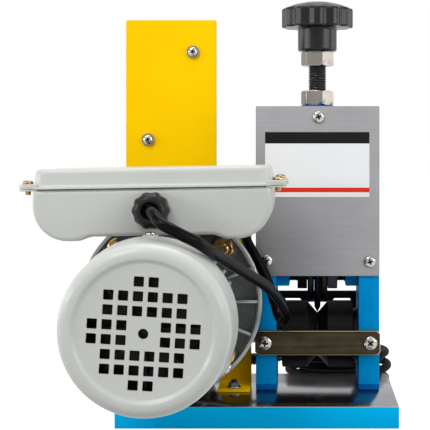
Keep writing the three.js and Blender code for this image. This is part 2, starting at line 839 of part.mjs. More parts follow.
function worm() {
  const core = alongY(cylinder(wormRootRadius, wormLength, coarseSides)).translate(0, -wormLength / 2, 0);
  const length = wormLength + cutOverrun * 2;
  const drum = alongY(cylinder(wormTipRadius + cutOverrun, wormLength, coarseSides))
    .translate(0, -wormLength / 2, 0);
  const bore = alongY(cylinder(wormShaftRadius + seatGap, length, coarseSides))
    .translate(0, -length / 2, 0);
  const body = cut(joined(core, common(wormThread(), drum)), bore);
  return piece('worm', body, bareSteel, 0, 0, wormRise);
}

// Places of the flange bolts in the plane of the mating flanges
function boltPlaces() {
  return Array.from({ length: flangeBolts }, (_, i) => {
    const angle = (i + 1 / 2) * fullTurn / flangeBolts;
    return [boltCircleRadius * Math.cos(angle), boltCircleRadius * Math.sin(angle)];
  });
}

function gearboxHousing() {
  const side = bevelled(roundedRectangle(gearboxHeight, gearboxDepth, gearboxCorner), gearboxWidth,
    gearboxEdge);
  const body = alongX(side).translate(-gearboxWidth / 2, 0, gearboxHeight / 2 + seatGap);
  const bossReach = gearboxWidth / 2 + outputBossReach;
  const bosses = alongX(cylinder(outputBossRadius, bossReach * 2)).translate(-bossReach, 0, rollerRise);
  const neck = alongY(cylinder(inputNeckRadius, -inputFace - gearboxDepth / 4))
    .translate(0, inputFace, wormRise);
  const flange = alongY(cylinder(inputFlangeRadius, inputFlangeThickness, fineSides))
    .translate(0, inputFace, wormRise);
  const innerWall = wheelWidth / 2 + wheelBossReach + runningGap;
  const chamber = alongX(cylinder(chamberRadius, bossReach + cutOverrun + innerWall))
    .translate(-bossReach - cutOverrun, 0, rollerRise);
  const shaftBore = alongX(cylinder(feedShaftRadius + runningGap, (bossReach + cutOverrun) * 2))
    .translate(-bossReach - cutOverrun, 0, rollerRise);
  const wormBore = alongY(cylinder(wormBoreRadius, wormBoreEnd - inputFace + cutOverrun, coarseSides))
    .translate(0, inputFace - cutOverrun, wormRise);
  const boltHoles = boltPlaces().map(([x, z]) =>
    alongY(cylinder(boltRadius + seatGap, inputFlangeThickness + cutOverrun * 2, boltSides))
      .translate(x, inputFace - cutOverrun, wormRise + z));
  const shell = cut(joined(body, bosses, neck, flange), chamber, shaftBore, wormBore, ...boltHoles);
  return piece('gearbox_housing', shell, castGrey);
}

// Round cover with a long spigot that closes the wheel's chamber
function gearboxCover() {
  const inner = feedShaftRadius + runningGap;
  const spigot = gearboxWidth / 2 + outputBossReach - wheelWidth / 2 - wheelBossReach - runningGap;
  const cap = turned([
    [inner, outputBossReach], [inner, -spigot], [chamberRadius - seatGap, -spigot],
    [chamberRadius - seatGap, 0], [outputBossRadius, 0],
    [outputBossRadius, outputBossReach - gearboxEdge], [outputBossRadius - gearboxEdge, outputBossReach],
    [inner, outputBossReach],
  ]);
  const x = -gearboxWidth / 2 - outputBossReach - seatGap;
  return piece('gearbox_cover', cap.rotateY(-quarterTurn), castGrey, x, 0, rollerRise);
}

function gearboxGroup() {
  const group = new THREE.Group();
  group.position.set(gearboxX, frameY, baseThickness);
  group.add(gearboxHousing(), gearboxCover(), wormWheel(), worm());
  return group;
}

// Motor. Its group looks at the camera side: x right, y up, z out from the mating face.
const frameStart = flangeThickness + seatGap * 2;
const frameEnd = frameStart + motorFrameLength;
const shieldStart = frameEnd + seatGap;
const shieldEnd = shieldStart + rearShieldThickness;
const fanStart = shieldEnd + rearShieldHubReach + runningGap;
const fanCoverStart = shieldStart - coverOverlap;
const shaftBore = motorShaftRadius + shaftBearingGap;

function motorFlange() {
  const rimInner = flangeRadius - flangeRimWidth;
  const dish = turned([
    [0, 0], [flangeRadius, 0], [flangeRadius, flangeThickness], [rimInner, flangeThickness],
    [rimInner, flangeWeb], [flangeHubRadius, flangeWeb], [flangeHubRadius, flangeThickness],
    [0, flangeThickness],
  ], fineSides);
  const bore = cylinder(shaftBore, flangeThickness + cutOverrun * 2, coarseSides)
    .translate(0, 0, -cutOverrun);
  const ribHeight = (flangeThickness + flangeWeb) / 2;
  const ribs = Array.from({ length: flangeRibs }, (_, i) =>
    block(rimInner - flangeHubRadius + flangeRimWidth, flangeRibWidth, ribHeight)
      .translate((rimInner + flangeHubRadius) / 2, 0, 0)
      .rotateZ(i * fullTurn / flangeRibs));
  const bosses = boltPlaces().map(([x, y]) =>
    cylinder(boltBossRadius - seatGap, ribHeight, coarseSides).translate(x, y, 0));
  const holes = boltPlaces().map(([x, y]) =>
    cylinder(boltRadius + seatGap, ribHeight + cutOverrun * 2, boltSides).translate(x, y, -cutOverrun));
  const shell = cut(joined(dish, ...ribs, ...bosses), bore, ...holes);
  return piece('motor_flange', shell, castGrey, 0, 0, seatGap);
}

// A bolt with its nut, tightened over both flanges
function flangeBolt(name, x, y) {
  const headBase = (flangeThickness + flangeWeb) / 2 + seatGap * 2;
  const back = -inputFlangeThickness - seatGap;
  const top = headBase + boltHeadHeight + boltTail;
  const bottom = back - boltHeadHeight;
  const shank = cylinder(boltRadius, top - bottom, boltSides).translate(0, 0, bottom);
  const nut = hexPrism(boltHeadRadius, boltHeadHeight, nutChamfer, 0).translate(0, 0, headBase);
  const head = cylinder(boltHeadRadius, boltHeadHeight, 6).translate(0, 0, bottom);
  return piece(name, joined(shank, head, nut), zincYellow, x, y, 0);
}

function motorFrame() {
  const outline = toothedOutline(finCount, finTipRadius, finRootRadius,
    finWidthShare * finTaperShare / 2, finWidthShare / 2);
  outline.holes.push(circlePath(motorBoreRadius, roundSides));
  return piece('motor_frame', extruded(outline, motorFrameLength), motorGrey, 0, 0, frameStart);
}

function circlePath(radius, sides) {
  return polygon(Array.from({ length: sides }, (_, i) => {
    const angle = i / sides * fullTurn;
    return [radius * Math.cos(angle), radius * Math.sin(angle)];
  }));
}

const rotorCentre = frameStart + motorFrameLength / 2;

function stator() {
  return piece('stator', ring(statorInnerRadius, motorBoreRadius - seatGap, statorLength), copperWinding,
    0, 0, rotorCentre);
}

// Rotor core on its shaft, which carries the worm at one end and the fan at the other
function rotor() {
  const wormEnd = inputFace - wormLength / 2 - wormShaftRadius;
  const shoulder = -inputFlangeThickness;
  const fanEnd = fanStart + fanReach + cutOverrun;
  const [coreStart, coreEnd] = [rotorCentre - statorLength / 2, rotorCentre + statorLength / 2];
  const profile = turned([
    [0, wormEnd], [wormShaftRadius, wormEnd], [wormShaftRadius, shoulder], [motorShaftRadius, shoulder],
    [motorShaftRadius, coreStart], [rotorRadius, coreStart], [rotorRadius, coreEnd],
    [motorShaftRadius, coreEnd], [motorShaftRadius, fanEnd], [0, fanEnd],
  ], coarseSides);
  return piece('rotor', profile, bareSteel);
}

function rearEndShield() {
  const spigot = motorBoreRadius - seatGap;
  const shield = turned([
    [shaftBore, rearShieldThickness + rearShieldHubReach], [shaftBore, -rearShieldSpigot],
    [spigot, -rearShieldSpigot],
    [spigot, 0], [rearShieldRadius, 0], [rearShieldRadius, rearShieldThickness],
    [rearShieldHub, rearShieldThickness], [rearShieldHub, rearShieldThickness + rearShieldHubReach],
    [shaftBore, rearShieldThickness + rearShieldHubReach],
  ]);
  return piece('rear_end_shield', shield, motorGrey, 0, 0, shieldStart);
}

function fan() {
  const hub = cylinder(fanHubRadius, fanReach, coarseSides);
  const plate = cylinder(fanRadius, fanPlate);
  const vaneLength = fanRadius - fanHubRadius;
  const vanes = Array.from({ length: fanVanes }, (_, i) =>
    block(vaneLength, fanVaneThickness, fanVaneHeight)
      .translate(fanHubRadius + vaneLength / 2 - fanPlate, 0, fanPlate / 2)
      .rotateZ(i * fullTurn / fanVanes));
  const bore = cylinder(motorShaftRadius + seatGap, fanReach + cutOverrun * 2, coarseSides)
    .translate(0, 0, -cutOverrun);
  return piece('fan', cut(joined(plate, hub, ...vanes), bore), blackPlastic, 0, 0, fanStart);
}

// Rows of the grille: in each row, how many pitches from the middle its squares stand
const grilleRows = [
  { rows: [3.5], columns: [0.5] },
  { rows: [1.5, 2.5], columns: [0.5, 1.5, 2.5] },
  { rows: [0.5], columns: [1.5, 2.5, 3.5] },
];

function grilleTools(height) {
  const signs = [-1, 1];
  return grilleRows.flatMap(({ rows, columns }) => rows.flatMap((row) => columns.flatMap((column) =>
    signs.flatMap((up) => signs.map((across) => block(grilleSquare, grilleSquare, height)
      .translate(across * column * grillePitch, up * row * grillePitch, 0)
      .rotateZ(grilleTurn))))));
}

// Half section of the fan cover, from its open rim up to the middle of its dished front
function coverProfile(inset, rimStart, noseSteps) {
  const noseStart = coverLength - coverNoseLength;
  const nose = Array.from({ length: noseSteps + 1 }, (_, i) => {
    const angle = i / noseSteps * quarterTurn;
    const across = coverNoseRadius - coverFlatRadius - coverFlatDish;
    return [coverNoseRadius - across * (1 - Math.cos(angle)) - inset,
      noseStart + (coverNoseLength - inset) * Math.sin(angle)];
  });
  const flat = coverLength - coverFlatDish - inset;
  return [[0, rimStart], [coverRimRadius - inset, rimStart], ...nose,
    [coverFlatRadius - inset, flat], [0, flat]];
}

function fanCover() {
  const outside = turned(coverProfile(0, 0, cornerSteps), fineSides);
  const inside = turned(coverProfile(fanCoverWall, -cutOverrun, hiddenCornerSteps));
  const lugs = Array.from({ length: coverScrews }, (_, i) =>
    block(coverScrewLugHeight * 2, coverScrewLugWidth, coverScrewLugLength)
      .translate(coverRimRadius - coverScrewLugHeight / 2, 0, 0)
      .rotateZ(quarterTurn + i * fullTurn / coverScrews));
  const frontTool = coverLength - fanCoverWall - cutOverrun * 2;
  const squares = grilleTools(coverLength - frontTool + cutOverrun)
    .map((tool) => tool.translate(0, 0, frontTool));
  const centre = cylinder(grilleCentreRadius, coverLength - frontTool + cutOverrun, coarseSides)
    .translate(0, 0, frontTool);
  const shell = cut(joined(outside, ...lugs), inside, centre, ...squares);
  return piece('fan_cover', shell, motorGrey, 0, 0, fanCoverStart);
}

const boxArchHalf = boxWidth / 2 - boxArchMargin;

// Terminal box: a casting with rounded lower corners, raised where it crosses the motor
function boxOutline(inset) {
  const half = boxWidth / 2 - inset;
  const corner = boxLowerCorner - inset;
  const top = boxHeight + boxEdge * 2;
  const outer = boxArchHalf + boxArchSlope;
  const shape = new THREE.Shape();
  shape.moveTo(half, top);
  shape.lineTo(-half, top);
  shape.absarc(corner - half, corner + inset, corner, halfTurn, halfTurn + quarterTurn, false);
  shape.lineTo(-outer, inset);
  shape.bezierCurveTo(-outer + boxArchSlope / 2, inset, -outer + boxArchSlope / 2, boxArchRise + inset,
    -boxArchHalf, boxArchRise + inset);
  shape.lineTo(boxArchHalf, boxArchRise + inset);
  shape.bezierCurveTo(outer - boxArchSlope / 2, boxArchRise + inset, outer - boxArchSlope / 2, inset,
    outer, inset);
  shape.absarc(half - corner, corner + inset, corner, halfTurn + quarterTurn, fullTurn, false);
  return shape;
}

const boxBackReach = boxFrontReach - boxDepth;
const glandHeight = boxRise + glandRise;

// Four screw ears on a plane at the box's rim
function ears(thickness) {
  const x = boxWidth / 2 + earReach - earRadius;
  const z = boxDepth / 2 - earInset;
  return [[-x, -z], [x, -z], [-x, z], [x, z]].map(([earX, earZ]) => joined(
    cylinder(earRadius, thickness, coarseSides).translate(earX, earZ, 0),
    block(earReach, earRadius * 2, thickness).translate(earX - Math.sign(earX) * earReach / 2, earZ, 0)));
}

function earHoles() {
  const x = boxWidth / 2 + earReach - earRadius;
  const z = boxDepth / 2 - earInset;
  const height = earThickness * 2 + cutOverrun * 2;
  return [[-x, -z], [x, -z], [-x, z], [x, z]].map(([holeX, holeZ]) =>
    cylinder(earHoleRadius, height, boltSides).translate(holeX, holeZ, -height / 2));
}

// Moves a plan drawn round the z axis to the box's rim, at the given height over its bottom
function onRim(geometry, height) {
  return alongY(geometry).translate(0, boxRise + height, boxFrontReach - boxDepth / 2);
}

function terminalBox() {
  const outside = bevelled(boxOutline(0), boxDepth, boxEdge, boxCornerSteps)
    .translate(0, boxRise, boxBackReach);
  const inside = extruded(boxOutline(boxWall), boxDepth - boxWall * 2, boxCornerSteps)
    .translate(0, boxRise, boxBackReach + boxWall);
  const above = block(boxWidth * 2, boxEdge * 4, boxDepth * 2)
    .translate(0, boxRise + boxHeight + boxEdge * 2, 0);
  const saddleHeight = boxRise + boxArchRise;
  const saddle = block(saddleHalf * 2, saddleHeight, boxDepth - saddleInset * 2)
    .translate(0, saddleHeight / 2 + boxWall / 2, boxBackReach + saddleInset);
  const motorSpace = cylinder(finTipRadius + seatGap * 2, boxFrontReach + cutOverrun, fineSides)
    .translate(-boxShift, 0, 0);
  const glandHole = cylinder(glandNeckRadius + seatGap, boxWall + boxEdge, coarseSides)
    .translate(0, glandHeight, boxFrontReach - boxWall - cutOverrun);
  const rimEars = ears(rimEarThickness).map((ear) => onRim(ear, boxHeight - rimEarThickness));
  const holes = earHoles().map((hole) => onRim(hole, boxHeight));
  const shell = cut(cut(joined(outside, saddle), above), inside);
  return piece('terminal_box', cut(joined(shell, ...rimEars), motorSpace, glandHole, ...holes), motorGrey);
}

function boxLid() {
  const width = boxWidth + lidOverhang * 2;
  const depth = boxDepth + lidOverhang * 2;
  const lip = extruded(roundedRectangle(width, depth, lidCorner), lidLip);
  const raised = bevelled(roundedRectangle(boxWidth, boxDepth, lidCorner), lidHeight, lidShoulder);
  const hollow = extruded(roundedRectangle(boxWidth - lidWall * 2, boxDepth - lidWall * 2,
    lidCorner - lidWall), lidHeight - lidWall + cutOverrun, hiddenCornerSteps).translate(0, 0, -cutOverrun);
  const lid = cut(joined(lip, raised, ...ears(earThickness)), hollow, ...earHoles());
  return piece('box_lid', onRim(lid, boxHeight + seatGap), motorGrey);
}

function capacitor() {
  const can = turned([
    [0, 0], [capacitorRadius - capacitorEdge, 0], [capacitorRadius, capacitorEdge],
    [capacitorRadius, capacitorLength - capacitorEdge],
    [capacitorRadius - capacitorEdge, capacitorLength], [0, capacitorLength],
  ], coarseSides);
  const y = boxRise + boxArchRise + boxWall + seatGap + capacitorRadius;
  return piece('capacitor', alongX(can), whitePlastic, -capacitorLength / 2, y, boxBackReach + boxDepth / 4);
}

// Gland: a lobed nut with a domed nose, on a neck that goes through the box's wall
function cableGland() {
  const star = extruded(lobedOutline(glandRadius, glandLobes, glandLobeDepth, glandLobeSteps), glandReach);
  const domed = turned([
    [0, 0], [glandRadius, 0], [glandRadius, glandReach - glandDome],
    [(glandRadius + glandNoseRadius) / 2, glandReach - glandDome / 4], [glandNoseRadius, glandReach],
    [0, glandReach],
  ]);
  const neckLength = boxWall * 2 + seatGap;
  const neck = cylinder(glandNeckRadius, neckLength + cutOverrun, coarseSides).translate(0, 0, -neckLength);
  const bore = cylinder(leadRadius + seatGap, glandReach + neckLength + cutOverrun * 2, coarseSides)
    .translate(0, 0, -neckLength - cutOverrun);
  const body = cut(joined(common(star, domed), neck), bore);
  return piece('cable_gland', body, blackPlastic, 0, glandHeight, boxFrontReach + seatGap);
}

const boxShift = Math.sin(boxRoll) * (boxRise + boxHeight / 2) + boxOffset;

function boxGroup() {
  const group = new THREE.Group();
  group.position.x = boxShift;
  group.rotation.z = boxRoll;
  group.add(terminalBox(), boxLid(), capacitor(), cableGland());
  return group;
}

function motorGroup() {
  const group = new THREE.Group();
  group.position.set(gearboxX, matingY, baseThickness + wormRise);
  group.rotation.x = quarterTurn;
  group.add(motorFlange(), motorFrame(), stator(), rotor(), rearEndShield(), fan(), fanCover());
  boltPlaces().forEach(([x, y], i) => group.add(flangeBolt(`flange_bolt_${i + 1}`, x, y)));
  return group;
}

// Switch bracket: one bent plate with a tall panel, a shoulder, a leg and a foot
function switchBracket() {
  const plate = extruded(polygon([
    [bracketLegLeft, seatGap], [bracketLegRight, seatGap], [bracketLegRight, bracketShoulderTop],
    [bracketPanelRight, bracketShoulderTop], [bracketPanelRight, bracketTop - bracketCorner],
    [bracketPanelRight - bracketCorner, bracketTop], [bracketPanelLeft + bracketCorner, bracketTop],
    [bracketPanelLeft, bracketTop - bracketCorner], [bracketPanelLeft, bracketShoulderBottom],
    [bracketLegLeft, bracketShoulderBottom],
  ]), bracketThickness).translate(0, 0, -bracketThickness);
  const legMiddle = (bracketLegLeft + bracketLegRight) / 2;
  const foot = block(bracketLegRight - bracketLegLeft, bracketThickness, bracketFootReach)
    .translate(legMiddle, seatGap + bracketThickness / 2, 0);
  const footHole = alongY(cylinder(footBoltRadius + seatGap, bracketThickness + cutOverrun * 2, coarseSides))
    .translate(legMiddle, -cutOverrun, footBoltOffset);
  const screwHoles = switchScrewPlaces().map(([x, y]) =>
    cylinder(switchScrewRadius + seatGap, bracketThickness + cutOverrun * 2, coarseSides)
      .translate(x, y, -bracketThickness - cutOverrun));
  return piece('switch_bracket', cut(joined(plate, foot), footHole, ...screwHoles), yellowPaint);
}

function switchScrewPlaces() {
  return [1, -1].map((side) => [switchCentreX + side * switchScrewSpreadX / 2,
    switchCentreRise + side * switchScrewSpreadY / 2]);
}

function footBolt() {
  const nutStart = footWasherThickness;
  const studTop = nutStart + footNutHeight + footBoltStand;
  const washerAndStud = turned([
    [0, -footBoltDepth], [footBoltRadius, -footBoltDepth], [footBoltRadius, 0], [footWasherRadius, 0],
    [footWasherRadius, nutStart], [footBoltRadius, nutStart], [footBoltRadius, studTop], [0, studTop],
  ], coarseSides);
  const nut = cylinder(footNutRadius, footNutHeight + seatGap, 6).translate(0, 0, nutStart - seatGap);
  const x = (bracketLegLeft + bracketLegRight) / 2;
  const y = bracketThickness + seatGap * 2;
  return piece('foot_bolt', alongY(joined(washerAndStud, nut)), chrome, x, y, footBoltOffset);
}

function switchScrew(name, x, y) {
  const screw = panScrew(switchScrewHead, switchScrewHeadHeight, switchScrewRadius, switchDepth / 2)
    .translate(0, 0, switchWasherThickness - seatGap);
  const washer = cylinder(switchWasherRadius, switchWasherThickness, coarseSides);
  return piece(name, joined(screw, washer), chrome, x, y, seatGap);
}

// Switch box on the bracket's far face, open where it meets the bracket
function switchBox() {
  const back = bracketThickness + seatGap;
  const shell = bevelled(roundedRectangle(switchWidth, switchHeight, switchCorner), switchDepth,
    buttonEdge).translate(0, 0, -back - switchDepth);
  const bezels = [1, -1].map((side) => cylinder(buttonRadius + bezelWidth, bezelHeight + buttonEdge)
    .translate(0, side * buttonSpread / 2, -back - switchDepth - bezelHeight));
  const hollow = extruded(roundedRectangle(switchWidth - switchWall * 2, switchHeight - switchWall * 2,
    switchCorner - switchWall), switchDepth - switchWall + cutOverrun, hiddenCornerSteps)
    .translate(0, 0, -back - switchDepth + switchWall);
  const bosses = switchScrewPlaces().map(([x, y]) =>
    cylinder(switchBossRadius, switchDepth - buttonEdge, coarseSides)
      .translate(x - switchCentreX, y - switchCentreRise, -back - switchDepth + buttonEdge));
  const screwHoles = switchScrewPlaces().map(([x, y]) =>
    cylinder(switchScrewRadius + seatGap, switchDepth / 2 + cutOverrun, coarseSides)
      .translate(x - switchCentreX, y - switchCentreRise, -back - switchDepth / 2));
  const buttonHoles = [1, -1].map((side) =>
    cylinder(buttonRadius + runningGap, switchWall + bezelHeight + cutOverrun * 2)
      .translate(0, side * buttonSpread / 2, -back - switchDepth - bezelHeight - cutOverrun));
  const middle = -back - switchDepth / 2;
  const entries = [[leadEntryX, leadRadius + seatGap], [cordEntryX, reliefNeckRadius + seatGap]]
    .map(([x, radius]) => alongY(cylinder(radius, switchWall + cutOverrun * 2, coarseSides))
      .translate(x, -switchHeight / 2 - cutOverrun, middle));
  const body = cut(joined(cut(joined(shell, ...bezels), hollow), ...bosses), ...screwHoles,
    ...buttonHoles, ...entries);
  return piece('switch_box', body, blackPlastic, switchCentreX, switchCentreRise, 0);
}

function button(name, side, material) {
  const depth = buttonLength - buttonStand;
  const cap = turned([
    [0, -depth], [buttonRadius + buttonFlange, -depth],
    [buttonRadius + buttonFlange, buttonFlangeThickness - depth],
    [buttonRadius, buttonFlangeThickness - depth], [buttonRadius, buttonStand - buttonEdge],
    [buttonRadius - buttonEdge, buttonStand], [0, buttonStand],
  ]);
  return piece(name, cap.rotateX(halfTurn), material, switchCentreX,
    switchCentreRise + side * buttonSpread / 2, -switchFace);
}

const reliefNeckRadius = cordRadius + seatGap + bezelHeight;

// Tapered sleeve that the mains cord leaves the switch box through
function strainRelief() {
  const inner = cordRadius + seatGap;
  const neck = switchWall + reliefInsert;
  const sleeve = turned([
    [inner, neck], [inner, -reliefLength], [reliefTipRadius, -reliefLength], [reliefRadius, -reliefInsert],
    [reliefRadius, 0], [reliefNeckRadius, 0], [reliefNeckRadius, neck], [inner, neck],
  ], coarseSides);
  return piece('strain_relief', alongY(sleeve), blackPlastic, switchCentreX + cordEntryX,
    switchCentreRise - switchHeight / 2 - seatGap, seatGap + switchDepth / 2 - switchFace);
}

function bracketGroup() {
  const group = new THREE.Group();
  group.position.set(gearboxX, bracketY, baseThickness);
  group.rotation.x = quarterTurn;
  group.add(switchBracket(), footBolt(), switchBox(), strainRelief());
  group.add(button('start_button', 1, greenPlastic), button('stop_button', -1, redPlastic));
  const names = ['switch_screw_upper', 'switch_screw_lower'];
  switchScrewPlaces().forEach(([x, y], i) => group.add(switchScrew(names[i], x, y)));
  return group;
}

// A round tube along points, with its ends square to the path
function tube(points, radius, sides, steps) {
  const path = new THREE.CatmullRomCurve3(points, false, 'centripetal');
  return new THREE.ExtrudeGeometry(circlePath(radius, sides), {
    steps, bevelEnabled: false, extrudePath: path,
  });
}

const toPoints = (route) => route.map(([x, y, z]) => new THREE.Vector3(x, y, z));

// Motor lead between the gland and the switch box: over the fan cover, down beside the motor,
// round in a loop and up again behind the flange, then over the bracket's shoulder
const motorLeadRoute = [
  [-64.5, -186, 164.1], [-58.5, -195, 158.3], [-46.5, -197, 151.7], [-35.6, -192, 145.8],
  [-28.8, -181, 140.2], [-21.7, -163, 133.6], [-6.3, -128, 120.1], [8.2, -96, 106.9],
  [18.2, -72, 93], [21.3, -58, 83.5], [19.6, -46, 76.4], [15.9, -34, 77.6], [12.2, -25, 87.4],
  [8.2, -19.5, 98.5], [3.4, -17, 110.8], [-4.1, -14.5, 124], [-10.6, -10, 135.4], [-16, -2, 150],
  [-21.5, 8, 163], [-28, 19.5, 171.5], [-40, 28, 173], [-53, 29.8, 179],
];

function motorLead(glandMouth, switchEntry) {
  const beyondNose = glandMouth.clone().setY(glandMouth.y - (glandReach + leadRadius) / 2);
  const points = [glandMouth, beyondNose, ...toPoints(motorLeadRoute),
    switchEntry.clone().setZ(switchEntry.z - glandReach), switchEntry];
  return piece('motor_lead', tube(points, leadRadius, tubeSides, leadSteps), blackPlastic);
}

// Mains cord from the switch box down behind the gearbox and along the floor to its coil
const mainsCordRoute = [
  [-85.7, 30.5, 166], [-85.8, 36, 150], [-86, 49, 137], [-86, 64, 127], [-86, 76, 111],
  [-85.5, 82, 90], [-85, 84.5, 65], [-83, 86, 42], [-77, 87.5, 22], [-63, 89, 8],
  [-44, 90, 3.9], [-20, 90.6, 3.6], [10, 91, 3.6], [38, 91, 3.6],
];

function mainsCord(relief) {
  const start = relief.clone();
  start.z -= seatGap;
  const coil = coilPoint(0);
  const end = new THREE.Vector3(coil.x - cordRadius * 2 - seatGap, coil.y, coil.z);
  const points = [start, start.clone().setZ(start.z - cordRadius), ...toPoints(mainsCordRoute), end];
  return piece('mains_cord', tube(points, cordRadius, tubeSides, cordSteps), blackPlastic);
}

// The coil spirals in and out at a steady rate and climbs a layer in each half turn of reversal
const coilTurns = coilLayers * turnsPerLayer;
const coilFloor = cordRadius + seatGap / 2;

function coilPoint(turn) {
  const layer = Math.min(Math.floor(turn / turnsPerLayer), coilLayers - 1);
  const along = turn - layer * turnsPerLayer;
  const inward = layer % 2 === 0 ? along : turnsPerLayer - along;
  const radius = coilRadius - inward * coilPitch;
  const climbs = Array.from({ length: coilLayers - 1 }, (_, i) => (i + 1) * turnsPerLayer);
  const level = climbs.reduce((sum, middle) =>
    sum + Math.min(Math.max((turn - middle) * 2 + 1 / 2, 0), 1), 0);
  const angle = turn * fullTurn - quarterTurn;
  return new THREE.Vector3(coilX + radius * Math.cos(angle), coilY + radius * Math.sin(angle),
    coilFloor + level * coilPitch);
}

// Least distance between parts of the coil that aren't next to each other, less its diameter
function coilGap(points) {
  const apart = coilStepsPerTurn / 2;
  const gaps = points.flatMap((point, i) =>
    points.slice(i + apart).map((other) => point.distanceTo(other)));
  return Math.min(...gaps) - cordRadius * 2;
}

function mainsCoil() {
  const count = Math.round(coilTurns * coilStepsPerTurn);
  const turns = Array.from({ length: count + 1 }, (_, i) => coilPoint(i / count * coilTurns));
  console.log(`Least gap between the coil's turns: ${coilGap(turns).toFixed(2)} mm`);
  const run = new THREE.Vector3(cordRadius * 2, 0, 0);
  const points = [turns[0].clone().sub(run), ...turns, turns[count].clone().sub(run)];
  return piece('mains_coil', tube(points, cordRadius, coilSides, count + 2), blackPlastic);
}

// From the coil's top turn down to the plug, which lies beside it
const plugCordRoute = [[40, 183, 24.5], [22, 183.6, 18.5], [8, 184, 13]];
const plugPlace = new THREE.Vector3(-22, 184.2, plugWidth / 2);

function plugCord() {
  const coilEnd = coilPoint(coilTurns);
  const start = new THREE.Vector3(coilEnd.x - cordRadius * 2 - seatGap * 2, coilEnd.y, coilEnd.z);
  const end = new THREE.Vector3(plugPlace.x + plugNeckLength + seatGap, plugPlace.y, plugPlace.z);
  const points = [start, start.clone().setX(start.x - cordRadius), ...toPoints(plugCordRoute),
    end.clone().setX(end.x + cordRadius), end];
  return piece('plug_cord', tube(points, cordRadius, tubeSides, plugCordSteps), blackPlastic);
}

// Moulded plug with two flat pins and a round earth pin. It lies on its side.
function plug() {
  const body = bevelled(roundedRectangle(plugHeight, plugWidth, plugCorner), plugLength, plugEdge);
  const neck = turned([
    [0, -plugNeckLength], [plugNeckTipRadius, -plugNeckLength], [plugNeckRadius, cutOverrun],
    [0, cutOverrun],
  ], coarseSides);
  const pins = [-1, 1].map((side) => block(bladePinThickness, bladePinWidth, bladePinLength + cutOverrun)
    .rotateZ(quarterTurn)
    .translate(-earthPinRise / 2, side * bladePinSpread / 2, plugLength - cutOverrun));
  const earth = cylinder(earthPinRadius, earthPinLength + cutOverrun, coarseSides)
    .translate(earthPinRise, 0, plugLength - cutOverrun);
  const whole = joined(body, neck, ...pins, earth).rotateY(-quarterTurn);
  return piece('plug', whole, blackPlastic, plugPlace.x, plugPlace.y, plugPlace.z);
}

// Where a point of a group stands in the machine
function placeOf(group, x, y, z) {
  group.updateMatrixWorld(true);
  return new THREE.Vector3(x, y, z).applyMatrix4(group.matrixWorld);
}

const machine = new THREE.Group();
const motor = motorGroup();
const box = boxGroup();
motor.add(box);
const bracket = bracketGroup();
machine.add(basePlate(), frameGroup(), gearboxGroup(), motor, bracket);
machine.updateMatrixWorld(true);

const glandMouth = placeOf(box, 0, glandHeight, boxFrontReach + glandReach / 2);
const entryHeight = switchCentreRise - switchHeight / 2;
const entryDepth = switchDepth / 2 - switchFace;
const switchEntry = placeOf(bracket, switchCentreX + leadEntryX, entryHeight + switchWall, entryDepth);
const reliefTip = placeOf(bracket, switchCentreX + cordEntryX, entryHeight - seatGap - reliefLength,
  entryDepth);
machine.add(motorLead(glandMouth, switchEntry), mainsCord(reliefTip), mainsCoil(), plugCord(), plug());

export default machine;
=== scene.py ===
"""Dresses the wire stripping machine: its cords, the studio, the finishes and the fine pieces.

Every shape is drawn in millimetres in the machine's own frame, +Z up, with the motor along -Y, and becomes
metres when it is made an object. Angles are in degrees unless a name says otherwise.
"""

from __future__ import annotations

import logging
import math
from dataclasses import dataclass, field
from enum import Enum
from typing import Callable, Sequence

import bmesh
import bpy
from mathutils import Matrix, Vector

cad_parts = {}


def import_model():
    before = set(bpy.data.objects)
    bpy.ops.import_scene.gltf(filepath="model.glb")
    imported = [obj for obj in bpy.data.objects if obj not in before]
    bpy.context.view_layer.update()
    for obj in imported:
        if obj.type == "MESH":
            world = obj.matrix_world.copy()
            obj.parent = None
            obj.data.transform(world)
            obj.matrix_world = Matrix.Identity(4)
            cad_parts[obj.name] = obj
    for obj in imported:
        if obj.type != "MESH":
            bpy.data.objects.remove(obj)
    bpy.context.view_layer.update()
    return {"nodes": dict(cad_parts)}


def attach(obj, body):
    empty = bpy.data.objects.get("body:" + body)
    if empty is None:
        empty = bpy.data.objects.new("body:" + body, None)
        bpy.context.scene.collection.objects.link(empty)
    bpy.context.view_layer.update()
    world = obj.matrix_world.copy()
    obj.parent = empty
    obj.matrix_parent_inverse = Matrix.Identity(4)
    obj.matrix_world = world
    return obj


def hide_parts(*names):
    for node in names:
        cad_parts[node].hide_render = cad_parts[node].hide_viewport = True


Point2 = tuple[float, float]
Point3 = tuple[float, float, float]
Colour = tuple[int, int, int]
Piece = bpy.types.Object
Socket = bpy.types.NodeSocket

MM = 0.001
FULL_TURN = math.tau
BOTH = (-1, 1)
SIDES = (("left", -1), ("right", 1))
LOG = logging.getLogger("wire_stripper")


# Drawing

def turn(angle: float, axis: str = "Z") -> Matrix:
    """A turn round one of the axes."""
    return Matrix.Rotation(math.radians(angle), 4, axis)


def placed(x: float, y: float, z: float, *turns: tuple[float, str]) -> Matrix:
    """Place of a drawing in the machine.

    Args:
        x, y, z: where the drawing's origin stands.
        turns: angles with their axes, the first one applied last.

    Returns:
        The matrix from the drawing to the machine's frame.
    """
    matrix = Matrix.Translation((x, y, z))
    for one in turns:
        matrix = matrix @ turn(*one)
    return matrix


def in_metres(place: Matrix) -> Matrix:
    """A place in millimetres as one in metres."""
    moved = place.copy()
    moved.translation = place.translation * MM
    return moved


